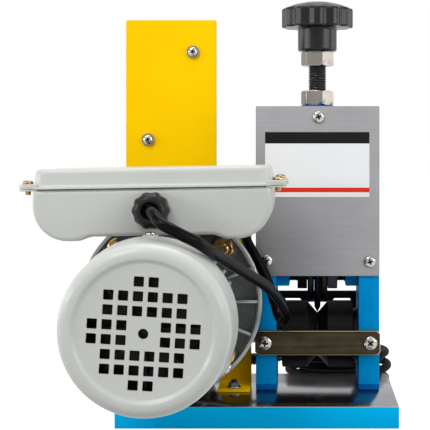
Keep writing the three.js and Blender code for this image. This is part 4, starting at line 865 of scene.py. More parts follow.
@dataclass(frozen=True)
class Lamp:
    """One soft elliptical lamp, its place and size in metres.

    Attributes:
        name: its name.
        place: where it hangs.
        target: what it points at.
        width: how wide it is.
        power: its power in watts.
        height: how high it is, or 0 where it is round.
    """

    name: str
    place: Point3
    target: Point3
    width: float
    power: float
    height: float = 0.0

    def hang(self) -> None:
        """Makes the lamp."""
        data = bpy.data.lights.new(self.name, "AREA")
        data.shape, data.size, data.size_y = "ELLIPSE", self.width, self.height or self.width
        data.energy = self.power
        lamp = linked(self.name, data)
        lamp.location = self.place
        ahead = Vector(self.target) - Vector(self.place)
        lamp.rotation_euler = ahead.to_track_quat("-Z", "Y").to_euler()


@dataclass
class Studio:
    """The camera, the lamps and the pale floor.

    Attributes:
        camera: where the camera stands.
        lens: its focal length over a 36 mm frame.
        shift: the frame's shift, as shares of its width.
        floor_side: the floor's width, in metres.
        floor_paint: the floor's own colour, which takes the shadows.
        floor_glow: how much light is added to it where it is seen directly.
        lighting: how bright the surroundings are as a light.
        showing: how bright they are where they are seen directly or in a reflection.
        lamps: the lamps.
    """

    camera: Point3 = (37.9, -1093.0, 204.8)
    lens: float = 115.03
    shift: Point2 = (-0.2163, -0.1465)
    floor_side: float = 9.0
    floor_paint: Point3 = (0.42, 0.42, 0.425)
    floor_glow: float = 0.895
    lighting: float = 0.27
    showing: float = 1.0
    lamps: Sequence[Lamp] = (
        Lamp("key", (-0.8, -1.35, 1.75), (0, 0, 0.13), 0.8, 18.0),
        Lamp("fill", (1.15, -1.35, 1.1), (0, 0, 0.13), 1.0, 4.5),
        Lamp("above", (0.1, 0.1, 1.7), (0, 0, 0.1), 1.1, 13.0),
        Lamp("left_rim", (-1.7, 0.55, 0.4), (0, 0, 0.16), 0.8, 5.0),
        Lamp("left_strip", (-1.3, -0.63, 0.43), (0.04, 0, 0.3), 1.1, 6.0, 0.15),
        Lamp("right_strip", (1.26, -0.86, 0.43), (0.04, 0, 0.3), 1.1, 6.0, 0.15),
        Lamp("right_rim", (1.7, 0.4, 0.4), (0, 0, 0.16), 0.8, 4.0),
    )

    def build(self) -> None:
        """Sets up everything that isn't part of the machine."""
        self._camera()
        self._world()
        self._floor()
        for lamp in self.lamps:
            lamp.hang()
        bpy.context.scene.view_settings.view_transform = "Standard"

    def _camera(self) -> None:
        """Makes the camera at the photograph's viewpoint."""
        data = bpy.data.cameras.new("camera")
        data.lens, data.sensor_width, data.sensor_fit = self.lens, 36.0, "HORIZONTAL"
        data.shift_x, data.shift_y = self.shift
        data.clip_start, data.clip_end = 0.05, 50.0
        camera = linked("camera", data)
        camera.location = Vector(self.camera) * MM
        camera.rotation_euler = (math.radians(90), 0, 0)
        bpy.context.scene.camera = camera

    @staticmethod
    def _seen_directly(tree: Tree) -> Socket:
        """1 for rays from the camera and for those that metal and glass send on, otherwise 0."""
        path = tree.step("ShaderNodeLightPath")
        total = path["Is Camera Ray"]
        for name in ("Is Glossy Ray", "Is Transmission Ray"):
            total = tree.math("ADD", total, path[name], use_clamp=True)
        return total

    def _world(self) -> None:
        """Makes the white surroundings, which light the machine less than they show."""
        world = bpy.context.scene.world = bpy.data.worlds.new("surroundings")
        tree = empty_tree(world)
        lights, shows = (tree.step("ShaderNodeBackground", {"Color": (1, 1, 1, 1), "Strength": strength})[0]
                         for strength in (self.lighting, self.showing))
        mix = tree.step("ShaderNodeMixShader", {0: self._seen_directly(tree), 1: lights, 2: shows})[0]
        tree.step("ShaderNodeOutputWorld", {0: mix})

    def _floor(self) -> None:
        """Makes the floor: it takes shadows, and looks white where nothing shades it."""
        side = self.floor_side / MM
        floor = slab("floor", rectangle(side, side), -2.0, -0.05)
        material = bpy.data.materials.new("pale_floor")
        tree = empty_tree(material)
        paint = tree.step("ShaderNodeBsdfDiffuse", {"Color": (*self.floor_paint, 1)})[0]
        strength = tree.math("MULTIPLY", self._seen_directly(tree), self.floor_glow)
        glow = tree.step("ShaderNodeEmission", {"Strength": strength})[0]
        both = tree.step("ShaderNodeAddShader", {0: paint, 1: glow})[0]
        tree.step("ShaderNodeOutputMaterial", {0: both})
        floor.data.materials.append(material)


# Cords

@dataclass
class Cords:
    """The mains lead with its plug, and the lead between the motor and the switch.

    Attributes:
        mains_radius: the mains lead's radius.
        lead_radius: the motor lead's radius.
        coil_centre: where the coil's axis stands.
        coil_radius: the coil's outer turn.
        coil_layers: how many layers it has.
        turns_per_layer: turns in each of them.
        coil_pitch: distance from turn to turn.
        coil_lift: gap between the coil and the bench.
        steps_per_turn: points in each turn.
        relief_tip: where the mains lead leaves its sleeve.
        relief_length: length of that sleeve.
        plug_place: middle of the plug's inner face.
        neck_length: length of the plug's neck.
        gland_mouth, switch_entry: the motor lead's ends.
        mains_route, plug_route, lead_route: what the cords pass through in between.
    """

    mains_radius: float = 3.5
    lead_radius: float = 4.0
    coil_centre: Point2 = (63.0, 137.0)
    coil_radius: float = 46.0
    coil_layers: int = 4
    turns_per_layer: float = 1.125
    coil_pitch: float = 7.6
    coil_lift: float = 0.15
    steps_per_turn: int = 24
    relief_tip: Point3 = (-85.7, 29.8, 175.7)
    relief_length: float = 24.0
    plug_place: Point3 = (-22.0, 184.2, 12.5)
    neck_length: float = 16.0
    gland_mouth: Point3 = (-67.35, -164.5, 165.19)
    switch_entry: Point3 = (-60.7, 29.8, 202.5)
    mains_route: Sequence[Point3] = (
        (-85.7, 30.5, 166), (-85.8, 36, 150), (-86, 49, 137), (-86, 64, 127), (-86, 76, 111),
        (-85.5, 82, 90), (-85, 84.5, 65), (-83, 86, 42), (-77, 87.5, 22), (-63, 89, 8),
        (-44, 90, 3.9), (-20, 90.6, 3.6), (10, 91, 3.6), (38, 91, 3.6))
    plug_route: Sequence[Point3] = ((40, 183, 24.5), (22, 183.6, 18.5), (8, 184, 13))
    lead_route: Sequence[Point3] = (
        (-64.5, -186, 164.1), (-58.5, -195, 158.3), (-46.5, -197, 151.7), (-35.6, -192, 145.8),
        (-28.8, -181, 140.2), (-21.7, -163, 133.6), (-6.3, -128, 120.1), (8.2, -96, 106.9),
        (18.2, -72, 93), (21.3, -58, 83.5), (19.6, -46, 76.4), (15.9, -34, 77.6), (12.2, -25, 87.4),
        (8.2, -19.5, 98.5), (3.4, -17, 110.8), (-4.1, -14.5, 124), (-10.6, -10, 135.4), (-16, -2, 150),
        (-21.5, 8, 163), (-28, 19.5, 171.5), (-40, 28, 173), (-53, 29.8, 179))

    def build(self) -> None:
        """Lays both cords and makes what is on them."""
        self._mains_lead(self._plug())
        self._motor_lead()
        self._strain_relief()

    def _coil_point(self, turns: float) -> Vector:
        """A point of the coil, after so many turns from its start."""
        layer = min(math.floor(turns / self.turns_per_layer), self.coil_layers - 1)
        along = turns - layer * self.turns_per_layer
        inward = along if layer % 2 == 0 else self.turns_per_layer - along
        radius = self.coil_radius - inward * self.coil_pitch
        climbs = [(i + 1) * self.turns_per_layer for i in range(self.coil_layers - 1)]
        level = sum(min(max((turns - middle) * 2 + 0.5, 0), 1) for middle in climbs)
        angle = turns * FULL_TURN - math.pi / 2
        return Vector((self.coil_centre[0] + radius * math.cos(angle),
                       self.coil_centre[1] + radius * math.sin(angle),
                       self.mains_radius + self.coil_lift + level * self.coil_pitch))

    @staticmethod
    def _lay(name: str, points: Sequence[Vector], spacing: float, radius: float) -> tuple[Piece, float]:
        """Lays a round cord as a curve of one open spline.

        Args:
            name: the cord's name.
            points: what it passes through.
            spacing: about how far apart the curve's own points lie.
            radius: the cord's radius.

        Returns:
            The cord and its length in metres.
        """
        line = centripetal(points, spacing)
        data = bpy.data.curves.new(name, "CURVE")
        data.dimensions, data.bevel_depth, data.bevel_resolution = "3D", radius * MM, 5
        data.use_fill_caps = True
        spline = data.splines.new("POLY")
        spline.points.add(len(line) - 1)
        for point, place in zip(spline.points, line):
            point.co = (*(place * MM), 1.0)
        spline.use_smooth = True
        return linked(name, data), sum((b - a).length for a, b in zip(line, line[1:])) * MM

    def _mains_lead(self, plug: Piece) -> None:
        """Lays the mains lead from its sleeve to the plug, with its coil."""
        start, thickness = Vector(self.relief_tip), self.mains_radius * 2
        turns = self.coil_layers * self.turns_per_layer
        count = round(turns * self.steps_per_turn)
        coil = [self._coil_point(i / count * turns) for i in range(count + 1)]
        run, inwards = Vector((thickness, 0, 0)), Vector((self.mains_radius, 0, 0))
        plug_end = Vector(self.plug_place) + Vector((self.neck_length, 0, 0))
        points = [start, start - Vector((0, 0, self.mains_radius)), *map(Vector, self.mains_route),
                  coil[0] - run, *coil, coil[-1] - run, *map(Vector, self.plug_route),
                  plug_end + inwards, plug_end]
        lead, length = self._lay("mains_lead", points, 3.0, self.mains_radius)
        dressed(lead, "mains_cord mains_coil plug_cord", MAINS)

    def _motor_lead(self) -> None:
        """Lays the lead from the terminal box round the motor to the switch."""
        mouth, entry = Vector(self.gland_mouth), Vector(self.switch_entry)
        points = [mouth, mouth - Vector((0, 9.5, 0)), *map(Vector, self.lead_route),
                  entry - Vector((0, 0, 15)), entry]
        lead, length = self._lay("motor_lead_cord", points, 2.5, self.lead_radius)
        dressed(lead, "motor_lead", RUBBER)

    def _strain_relief(self) -> None:
        """Makes the ribbed, tapered sleeve where the mains lead leaves the switch box."""
        x, y, z = self.relief_tip
        inside, neck, collar = 3.7, 5.0, 6.2
        profile = [(inside, -4.5), (neck, -4.5), (neck, 0.0), (collar, 0.0), (collar, 2.0),
                   *ribs(7, (6.1, 3.0), (-0.17, 3.0), 1.7, 2.8, 0.7),
                   (4.8, self.relief_length), (inside, self.relief_length)]
        sleeve = turned("strain_relief_sleeve", profile, placed(x, y, z + self.relief_length, (180, "X")),
                        40, closed=True)
        dressed(smoothed(sleeve), "strain_relief", BLACK_PLASTIC)

    def _plug(self) -> Piece:
        """Makes the moulded plug, which lies on its side."""
        place = placed(*self.plug_place, (-90, "Y"))
        sizes = [(19.0, 23.0, 0.0), (20.6, 24.6, 0.8), (21.0, 25.0, 2.4), (21.0, 25.0, 9.0),
                 (19.4, 23.0, 14.0), (19.4, 23.0, 22.0), (21.0, 25.0, 26.0), (21.0, 25.0, 30.4),
                 (20.4, 24.4, 31.6), (19.4, 23.4, 32.0)]
        body = Drawing().loft([[place @ Vector((px, py, height)) for px, py in rectangle(wide, deep, 6.0)]
                               for wide, deep, height in sizes])
        neck = [(0.0, -self.neck_length), (4.6, -self.neck_length), (4.9, -15.6),
                *ribs(4, (5.1, -14.6), (0.45, 3.5), 2.2, 3.2, 0.6), (7.0, 0.3), (0.0, 0.3)]
        moulding = bevelled(body.lathe(neck, place, 36).as_object("plug_moulding"), 0.4, 2, 50)
        pins, face, tip = Drawing(), 31.0, 48.0
        for side in BOTH:
            blade = rectangle(6.4, 1.5, 0.4, centre=(-2.5, side * 6.35))
            pins.prism(blade, face, tip, place).prism(blade, tip, 48.9, place)
        pins.lathe([(0, face), (2.4, face), (2.4, 50.4), (1.7, 51.6), (0.8, 52), (0, 52)],
                   place @ placed(5.0, 0, 0), 32)
        metal = bevelled(pins.as_object("plug_pins"), 0.2, 2, 50)
        plug = merged("mains_plug", [painted(moulding, RUBBER), painted(metal, BRASS)])
        return dressed(smoothed(plug), "plug", RUBBER, BRASS)


# Where the units stand

DECK = 16.4
DRIVE_X = -67.3
FRAME_X, FRAME_Y = 45.5, 26.4
FEED_RISE = 40.7
BLADE_RISE = 89.6
BOX_LEAN = 0.95
FACING = (90, "X")
MOTOR = placed(DRIVE_X, -32.0, 90.1, FACING)
BOX = MOTOR @ turn(BOX_LEAN)
FRAME = placed(FRAME_X, FRAME_Y, DECK)
FEED_AXIS = FRAME @ placed(0, 0, FEED_RISE, (90, "Y"))
BLADE_AXIS = FRAME @ placed(0, 0, BLADE_RISE, (90, "Y"))


# Motor and terminal box

@dataclass
class Motor:
    """The flange motor with its fan cover.

    Attributes:
        workshop: the shared recipes.
        cover_start: height of the fan cover's open rim over the mating face.
        cover_length: the fan cover's length.
        wall: its thickness.
        dish: how far its middle lies behind its nose.
        grille_pitch: distance from hole to hole.
        grille_square: side of each hole.
        grille_turn: how far the grille is turned.
        grille_drop: how far the grille lies below the motor's axis.
        lug_rise: height of the fan cover's screws over its rim.
        fins: how many fins the frame has.
        seat: gap between the flange and the gearbox.
        web: thickness of the flange between its rim and its hub.
        rim: the flange's thickness at its rim.
        bolts: how many bolts hold the flange.
        bolt_circle: radius that they stand on.
        screws: how many screws hold the fan cover.
        rib_places: how many places for ribs the flange has, of which its bolts take four.
    """

    workshop: Workshop
    cover_start: float = 138.6
    cover_length: float = 48.0
    wall: float = 1.5
    dish: float = 2.1
    grille_pitch: float = 9.49
    grille_square: float = 6.6
    grille_turn: float = -3.4
    grille_drop: float = 1.4
    lug_rise: float = 4.6
    fins: int = 30
    seat: float = 0.3
    web: float = 3.6
    rim: float = 9.7
    bolts: int = 4
    bolt_circle: float = 57.5
    screws: int = 3
    rib_places: int = 16

    def build(self) -> None:
        """Makes the motor's pieces."""
        self._fan_cover()
        self._frame()
        self._flange()
        for index in range(self.bolts):
            self._bolt(index)
        self._cover_screws()

    def _profile(self, inset: float) -> list[Point2]:
        """Half section of the fan cover, from its rim to its middle, set in by a wall's thickness."""
        radius, bend, start, face = 56.4, 8.4, 39.5, 47.0
        nose = [(radius - bend * (1 - math.cos(a)) - inset,
                 start + (self.cover_length - start - inset) * math.sin(a))
                for a in [k / 10 * math.pi / 2 for k in range(11)]]
        lip = [(face - 3.6 * t - inset,
                self.cover_length - inset - self.dish * (0.5 - 0.5 * math.cos(t * math.pi)))
               for t in [k / 8 for k in range(9)]]
        return [(58.5 - inset, 0.0), (58.3 - inset, 6.0), *nose, *lip]

    def _fan_cover(self) -> None:
        """Makes the pressed cover with its square grille."""
        flat = self.cover_length - self.dish
        profile = [(0.0, flat - self.wall), *reversed(self._profile(self.wall)), *self._profile(0.0),
                   (0.0, flat)]
        cover = turned("fan_cover_shell", profile, Matrix(), 128)
        tool = slab("grille_tool", rectangle(self.grille_square, self.grille_square, 0.7, 3), -3.0, 3.0)
        self.workshop.grille.run(
            cover, Piece=tool, Pitch=self.grille_pitch * MM, Inner=self.grille_pitch * MM,
            Outer=self.grille_pitch * 3.7 * MM, Turn=math.radians(self.grille_turn),
            Height=(flat - self.wall / 2) * MM, Drop=-self.grille_drop * MM, Material=MOTOR_GREY.material())
        bpy.data.objects.remove(tool)
        bored(cover, 3.35, flat - 4, flat + 2, placed(0, -self.grille_drop, 0), 40)
        cover.data.transform(in_metres(MOTOR @ placed(0, 0, self.cover_start)))
        dressed(smoothed(cover, 40), "fan_cover", MOTOR_GREY)

    def _frame(self) -> None:
        """Makes the finned motor frame and its rear shield."""
        low, high, inner, outer = 10.3, 142.3, 39.0, 44.6
        core = turned("motor_core", [(inner, low), (outer, low), (outer, high), (inner, high)], MOTOR, 120,
                      MOTOR_GREY, closed=True)
        outline = rounded([(43.6, -1.9), (48.9, -1.15), (48.9, 1.15), (43.6, 1.9)], [0, 0.9, 0.9, 0])
        fin = bevelled(slab("fin", outline, low + 0.5, high - 0.5), 0.3, 1, 60)
        fins = self.workshop.copies_round("motor_fins", fin, self.fins, MOTOR_GREY, MOTOR, 6.0)
        dressed(smoothed(merged("motor_frame_finned", [core, fins])), "motor_frame", MOTOR_GREY)
        shield = rounded([(7.4, -2.5), (38.5, -2.5), (38.5, 0.0), (56.0, 0.0), (56.0, 8.0), (16.0, 8.0),
                          (16.0, 14.0), (7.4, 14.0)], 0.8)
        rear = turned("rear_shield", shield, MOTOR @ placed(0, 0, high + 0.3), 96, closed=True)
        dressed(smoothed(rear), "rear_end_shield", MOTOR_GREY)

    def _flange(self) -> None:
        """Makes the ribbed flange, dished between its rim and its hub."""
        place = MOTOR @ placed(0, 0, self.seat)
        profile = rounded([(7.4, self.rim), (7.4, 0.0), (70.0, 0.0), (70.0, self.rim), (67.0, self.rim),
                           (66.4, self.web), (47.4, self.web), (46.5, self.rim)],
                          [0, 0, 0.8, 0.8, 0.6, 1.6, 1.6, 0.8])
        dish = turned("flange_dish", profile, place, 128, CAST, CAST_RIM, CAST_EDGE_HIGHLIGHT, closed=True)
        # On the rim, flat faces take the rim finish and the rounded edges the bright one, a painted
        # highlight.
        for face in dish.data.polygons:
            where, facing = MOTOR.inverted() @ (face.center / MM), abs(face.normal.y)
            on_rim = math.hypot(where.x, where.y) > 66.0 and where.z > 4.0
            if on_rim:
                face.material_index = 1 if facing > 0.9 or facing < 0.2 else 2
        rib = rectangle(21.2, 2.6, centre=(56.6, 0))
        bars = Drawing()
        for step in (-1, 0, 1):
            bars.prism(rib, 2.0, 7.4, turn(step * 360 / self.rib_places))
        bars = bevelled(bars.as_object("rib"), 0.6, 2, 60)
        spokes = self.workshop.copies_round("flange_ribs", bars, self.bolts, CAST_RIM, place)
        pad = rounded([(0, 0.5), (10.2, 0.5), (10.2, 6.6), (0, 6.6)], [0, 0, 0.8, 0], closed=False)
        boss = turned("boss", pad, placed(self.bolt_circle, 0, 0), 48)
        bosses = self.workshop.copies_round("flange_bosses", boss, self.bolts, CAST, place, 45.0)
        flange = smoothed(merged("motor_flange_ribbed", [dish, spokes, bosses]))
        dressed(flange, "motor_flange", CAST, CAST_RIM, CAST_EDGE_HIGHLIGHT)

    def _bolt(self, index: int) -> None:
        """Makes one flange bolt with its nut, washer and threaded end."""
        place = MOTOR @ turn(45 + index * 360 / self.bolts) @ placed(self.bolt_circle, 0, 0)
        shank = [(0, -12), (3.7, -12), (3.7, 15.9), (3.1, 16.2), (0, 16.2)]
        washer = [(4.2, 7.2), (8.4, 7.2), (8.4, 7.7), (4.2, 7.7)]
        parts = [
            hexagon(7.8, 7.4, 13.2, 1.2, place @ turn(17 * index), 4.0),
            hexagon(7.8, -16.3, -10.6, 1.2, place),
            turned("shank", shank, place, 28),
            turned("washer", washer, place, 40, closed=True),
            self.workshop.threaded("bolt_thread", 3.4, 1.25, 2.4, BRASS, place @ placed(0, 0, 13.4)),
        ]
        bolt = merged(f"flange_bolt_and_nut_{index + 1}", [painted(part, BRASS) for part in parts])
        dressed(smoothed(bolt, 25), f"flange_bolt_{index + 1}", BRASS)

    def _cover_screws(self) -> None:
        """Makes the three screws that hold the fan cover, each on a small lug of its rim."""
        place, start = MOTOR @ placed(0, 0, self.cover_start), 90.0
        lug = slab("lug", rectangle(10.0, 9.0, 2.0), 0.0, 1.6,
                   placed(57.6, 0, self.lug_rise, (90, "Y"), (90, "Z")))
        lugs = self.workshop.copies_round("cover_lugs", bevelled(lug, 0.3, 2), self.screws, MOTOR_GREY,
                                          place, start)
        dressed(smoothed(lugs), "", MOTOR_GREY)
        screw = PanScrew(3.4, 2.4, 1.2).head()
        screw.data.transform(in_metres(placed(59.2, 0, self.lug_rise, (90, "Y"))))
        screws = self.workshop.copies_round("cover_screws", screw, self.screws, CHROME, place, start)
        dressed(smoothed(screws, PanScrew.smooth), "", CHROME)


@dataclass
class TerminalBox:
    """The cast box on the motor with its lid, gland and screws.

    Attributes:
        workshop: the shared recipes.
        width: the box's width.
        back, front: its ends over the mating face.
        rise: height of its bottom over the motor's axis.
        height: from its bottom to its rim.
        corner: radius of its lower corners.
        foot: width of the lobe that each side of its bottom stands on.
        slope, lift: width and height of the slope between the lobes and the middle.
        ear_reach: how far the lid's screws stand out from its sides.
        ear_spread: how far they stand from its middle, along the motor.
        gap: between the box and its lid.
        lug: thickness of the lid's lugs.
        lobes: how many lobes the gland nut has.
    """

    workshop: Workshop
    width: float = 163.4
    back: float = 15.0
    front: float = 125.0
    rise: float = 54.5
    height: float = 35.6
    corner: float = 24.0
    foot: float = 41.7
    slope: float = 12.0
    lift: float = 3.0
    ear_reach: float = 4.4
    ear_spread: float = 45.0
    gap: float = 0.3
    lug: float = 3.6
    lobes: int = 10

    def build(self) -> None:
        """Makes the box and what is on it."""
        self._box()
        self._lid()
        self._gland()
        self._screws()

    def _level(self, outline: Sequence[Point2], height: float) -> list[Vector]:
        """An outline laid flat round the box's middle, at a height over its bottom."""
        middle = (self.back + self.front) / 2
        return [BOX @ Vector((x, self.rise + height, middle + z)) for x, z in outline]

    def _outline(self) -> list[Point2]:
        """The box seen along the motor: two lobes with a rise between them."""
        half, arch = self.width / 2, self.width / 2 - self.foot
        line: list[Point2] = [(half, self.height), (-half, self.height)]
        line += arc(self.corner - half, self.corner, self.corner, 180, 270, 14)
        ease = [(t, self.lift * (3 * t * t - 2 * t ** 3)) for t in [k / 10 for k in range(11)]]
        line += [(-arch - self.slope + self.slope * t, y) for t, y in ease]
        line += [(arch + self.slope - self.slope * t, y) for t, y in reversed(ease)]
        line += arc(half - self.corner, self.corner, self.corner, 270, 360, 14)
        return [(x, y + self.rise) for x, y in line]

    def _ear_places(self) -> list[tuple[int, Point2]]:
        """Each screw's side, and its place round the box's middle."""
        return [(side, (side * (self.width / 2 + self.ear_reach), end * self.ear_spread))
                for side in BOTH for end in BOTH]

    def _ears(self, name: str, low: float, high: float, edge: float) -> Piece:
        """Four lugs for the lid's screws, between two heights over the box's bottom."""
        drawing = Drawing()
        for side, (x, z) in self._ear_places():
            outline = arc(x, z, 6, 90 - side * 180, 90, 12)
            outline += [(x - side * 8, z + 9.5), (x - side * 8, z - 9.5)]
            drawing.loft([self._level(outline, height) for height in (low, high)])
        return bevelled(drawing.as_object(name), edge, 2, 60)

    def _box(self) -> None:
        """Makes the box's body, its rim and the saddle that it stands on."""
        body = bevelled(slab("box_body", self._outline(), self.back, self.front, BOX), 3.4, 5, 60)
        ears = self._ears("box_ears", self.height - 1.0, self.height, 0.3)
        saddle = slab("saddle", rectangle(52.0, 60.0, centre=(0, 30.0)), 29.0, 111.0, BOX)
        bored(saddle, 49.8, 0, 140, MOTOR, 96)
        box = merged("terminal_box_casting", [painted(body, MOTOR_GREY), painted(ears, MOTOR_GREY),
                                              painted(saddle, CAST)])
        dressed(smoothed(box, 35), "terminal_box", MOTOR_GREY, CAST)

    def _lid(self) -> None:
        """Makes the pressed lid: a lip, a hollow fillet and a wall that leans in to a rounded top."""
        base, deep = self.height + self.gap, self.front - self.back
        levels = [(2.4, 0.0, 9.5), (2.4, 1.3, 9.5), (1.8, 1.6, 9.2), (0.2, 1.7, 9.0), (-0.8, 2.2, 8.6),
                  (-1.4, 3.2, 8.4), (-2.6, 9.6, 8.2), (-3.2, 11.6, 8.0), (-4.6, 12.9, 7.6),
                  (-7.0, 13.5, 7.0), (-11.0, 13.6, 6.0)]
        skin = Drawing().loft([self._level(rectangle(self.width + grow, deep + grow, corner, 8), base + rise)
                               for grow, rise, corner in levels]).as_object("lid_skin")
        lid = merged("lid_pressing", [skin, self._ears("lid_ears", base, base + self.lug, 0.5)])
        dressed(smoothed(lid, 45), "box_lid", MOTOR_GREY)

    def _gland(self) -> None:
        """Makes the lobed gland nut with its neck."""
        profile = [(4.3, -5.3), (9.0, -5.3), (9.0, -0.1), (12.2, 0.0), (12.75, 0.8), (12.75, 8.0),
                   (12.5, 9.6), (11.8, 11.4), (10.8, 12.9), (9.6, 14.1), (8.2, 14.8), (6.8, 15.0),
                   (5.8, 14.7), (5.0, 13.8), (4.5, 12.4)]
        shares = [0, 0, 0, 1, 1, 1, 0.95, 0.7, 0.3, 0.1, 0, 0, 0, 0, 0]
        nut = Drawing().lathe(profile, BOX @ placed(0, self.rise + 20.6, self.front + self.gap), 160, True,
                              lambda angle: -0.45 * (1 - math.cos(angle * self.lobes)), shares)
        dressed(smoothed(nut.as_object("gland_nut"), 40), "cable_gland", BLACK_PLASTIC)

    def _screws(self) -> None:
        """Makes the four brass screws that hold the lid, with their ends below the rim."""
        around = [place for _, place in self._ear_places()]
        places = [tuple(place) for place in self._level(around, self.height + self.gap + self.lug)]
        screws = self.workshop.screws_at("lid_screws", PanScrew(3.9, 2.6, 1.3, 2.0, 7.5), places, BRASS,
                                         turn(-BOX_LEAN, "Y"))
        dressed(screws, "", BRASS, RECESS_SHADE)


# Feed frame, blade unit and feed

COVER_SCREW = PanScrew(4.5, 2.7, 1.6)


@dataclass
class FeedFrame:
    """Uprights, top plate, covers, guide bar and infeed plate.

    Attributes:
        workshop: the shared recipes.
        width: over both uprights.
        depth: of the uprights.
        thickness: of each upright.
        near_face: Y of the uprights' near faces.
        foot: height of the band at each upright's foot that is painted a deeper blue as shade.
        seat: gap between pieces that are screwed together.
        sheet: thickness of the cover plates.
        bar: thickness of the guide bar.
        infeed: thickness of the infeed plate.
        bar_rise: height of the guide bar's middle over the base plate.
        infeed_rise: height of the infeed plate's middle over the base plate.
        bearing: radius of the bearings.
    """

    workshop: Workshop
    width: float = 97.7
    depth: float = 66.0
    thickness: float = 16.3
    near_face: float = -6.6
    foot: float = 5.0
    seat: float = 0.3
    sheet: float = 1.5
    bar: float = 6.0
    infeed: float = 4.0
    bar_rise: float = 38.2
    infeed_rise: float = 47.0
    bearing: float = 16.0

    def build(self) -> None:
        """Makes the frame's pieces."""
        for name, side in SIDES:
            self._upright(name, side * (self.width - self.thickness) / 2)
        self._top_plate()
        self._covers()
        self._panel()
        self._guide_bar()
        self._screws()
        self._infeed_plate()

    def _upright(self, name: str, x: float) -> None:
        """Makes an upright, blue with a band of painted shade at its foot, and the shaft's bearing in it."""
        levels = (self.seat, self.foot, 208.4)
        upright = Drawing().loft([[FRAME @ Vector((x + px, py, height))
                                   for px, py in rectangle(self.thickness, self.depth)] for height in levels])
        upright = upright.as_object(f"{name}_slab", BLUE, DEEP_BLUE_AND_FOOT_SHADE)
        seat = FRAME @ placed(x, 0, FEED_RISE, (90, "Y"))
        bored(upright, self.bearing + self.seat, -20, 20, seat, 64)
        bevelled(upright, 0.6, 2, 40)
        # Faces below the foot height take the deeper blue: painted shade where the upright meets the base.
        for face in upright.data.polygons:
            face.material_index = int(face.center.z < (DECK + self.foot) * MM)
        dressed(smoothed(upright), f"upright_{name}", BLUE, DEEP_BLUE_AND_FOOT_SHADE)
        end, shield = 4.5, 3.9
        half = [(7.8, end), (10.2, end), (10.5, shield), (13.2, shield), (13.5, end), (self.bearing, end)]
        section = rounded(mirrored(half), 0.25, steps=2)
        race = turned(f"sealed_bearing_{name}", section, seat, 72, closed=True)
        dressed(smoothed(race), f"bearing_{name}", CHROME)

    def _top_plate(self) -> None:
        """Makes the plate over the uprights, bored for the adjusting screw."""
        plate = bored(slab("top_slab", rectangle(self.width, self.depth), 208.7, 224.7, FRAME),
                      7.35, 200, 230, FRAME)
        dressed(smoothed(bevelled(plate, 0.5, 2, 40)), "top_plate", BLUE)

    def _covers(self) -> None:
        """Makes the brushed cover plates on both faces."""
        outline = rectangle(self.width, 134.1, 1.6, centre=(0, 157.55))
        for name, y in (("front", -self.seat), ("rear", self.depth + self.seat + self.sheet)):
            place = placed(FRAME_X, self.near_face + y, DECK, FACING)
            plate = bevelled(slab(f"{name}_plate", outline, 0.0, self.sheet, place), 0.25, 2, 50)
            dressed(smoothed(plate), f"{name}_cover", BRUSHED)

    def _panel(self) -> None:
        """Makes a plain white panel with a black band and a red stripe, both bare."""
        width, face, print_top = 82.3, 0.25, 0.32
        place = placed(45.2, self.near_face - self.seat - self.sheet, 194.9, FACING)
        panel = merged("plain_panel", [
            slab("panel", rectangle(width, 51.3, 0.6), 0.0, face, place, WHITE),
            slab("band", rectangle(width, 9.0, 0.3, centre=(0, 21.15)), face, print_top, place, PANEL_BLACK),
            slab("stripe", rectangle(width, 3.6, 0.2, centre=(0, -20.0)), face, print_top, place, PANEL_RED),
        ])
        dressed(panel, "", WHITE, PANEL_BLACK, PANEL_RED)

    def _guide_bar(self) -> None:
        """Makes the bronze bar below the window, its bevelled edges in a bright bronze as a painted
        highlight.
        """
        x, z, chamfer = 49.3, 9.6, 2.6
        outline = rounded([(x, z - chamfer), (x - chamfer, z), (chamfer - x, z), (-x, z - chamfer),
                           (-x, chamfer - z), (chamfer - x, -z), (x - chamfer, -z), (x, chamfer - z)],
                          1.2, steps=3)
        place = placed(FRAME_X, self.near_face - self.seat, DECK + self.bar_rise, FACING)
        bar = slab("bronze_guide_bar", outline, 0.0, self.bar, place, BRONZE, BRONZE_EDGE_HIGHLIGHT)
        # The bevels take the second slot: a painted highlight along the bar's edges.
        dressed(smoothed(bevelled(bar, 0.55, 2, 50, edge_slot=1)), "guide_bar", BRONZE, BRONZE_EDGE_HIGHLIGHT)

    def _screws(self) -> None:
        """Makes the pan screws of the guide bar and of both cover plates."""
        away = turn(90, "X")
        for name, side in SIDES:
            place = (FRAME_X + side * 41.4, self.near_face - 2 * self.seat - self.bar,
                     DECK + self.bar_rise)
            made = self.workshop.screws_at(f"guide_bar_screw_{name}", PanScrew(5.4, 3.2, 1.9), [place],
                                           CHROME, away @ Matrix.Rotation(side * 0.4, 4, "Z"))
            dressed(made, f"guide_screw_{name}", CHROME, RECESS_SHADE)
        spots, out = ((46.2, 232.4), (5.3, 119.1), (86.8, 118.1)), self.seat + self.sheet + 0.1
        for name, y, facing in (("near", self.near_face - out, away),
                                ("far", self.near_face + self.depth + out, away.inverted())):
            screws = self.workshop.screws_at(f"cover_plate_screws_{name}", COVER_SCREW,
                                             [(x, y, z) for x, z in spots], CHROME, facing)
            dressed(screws, "", CHROME, RECESS_SHADE)

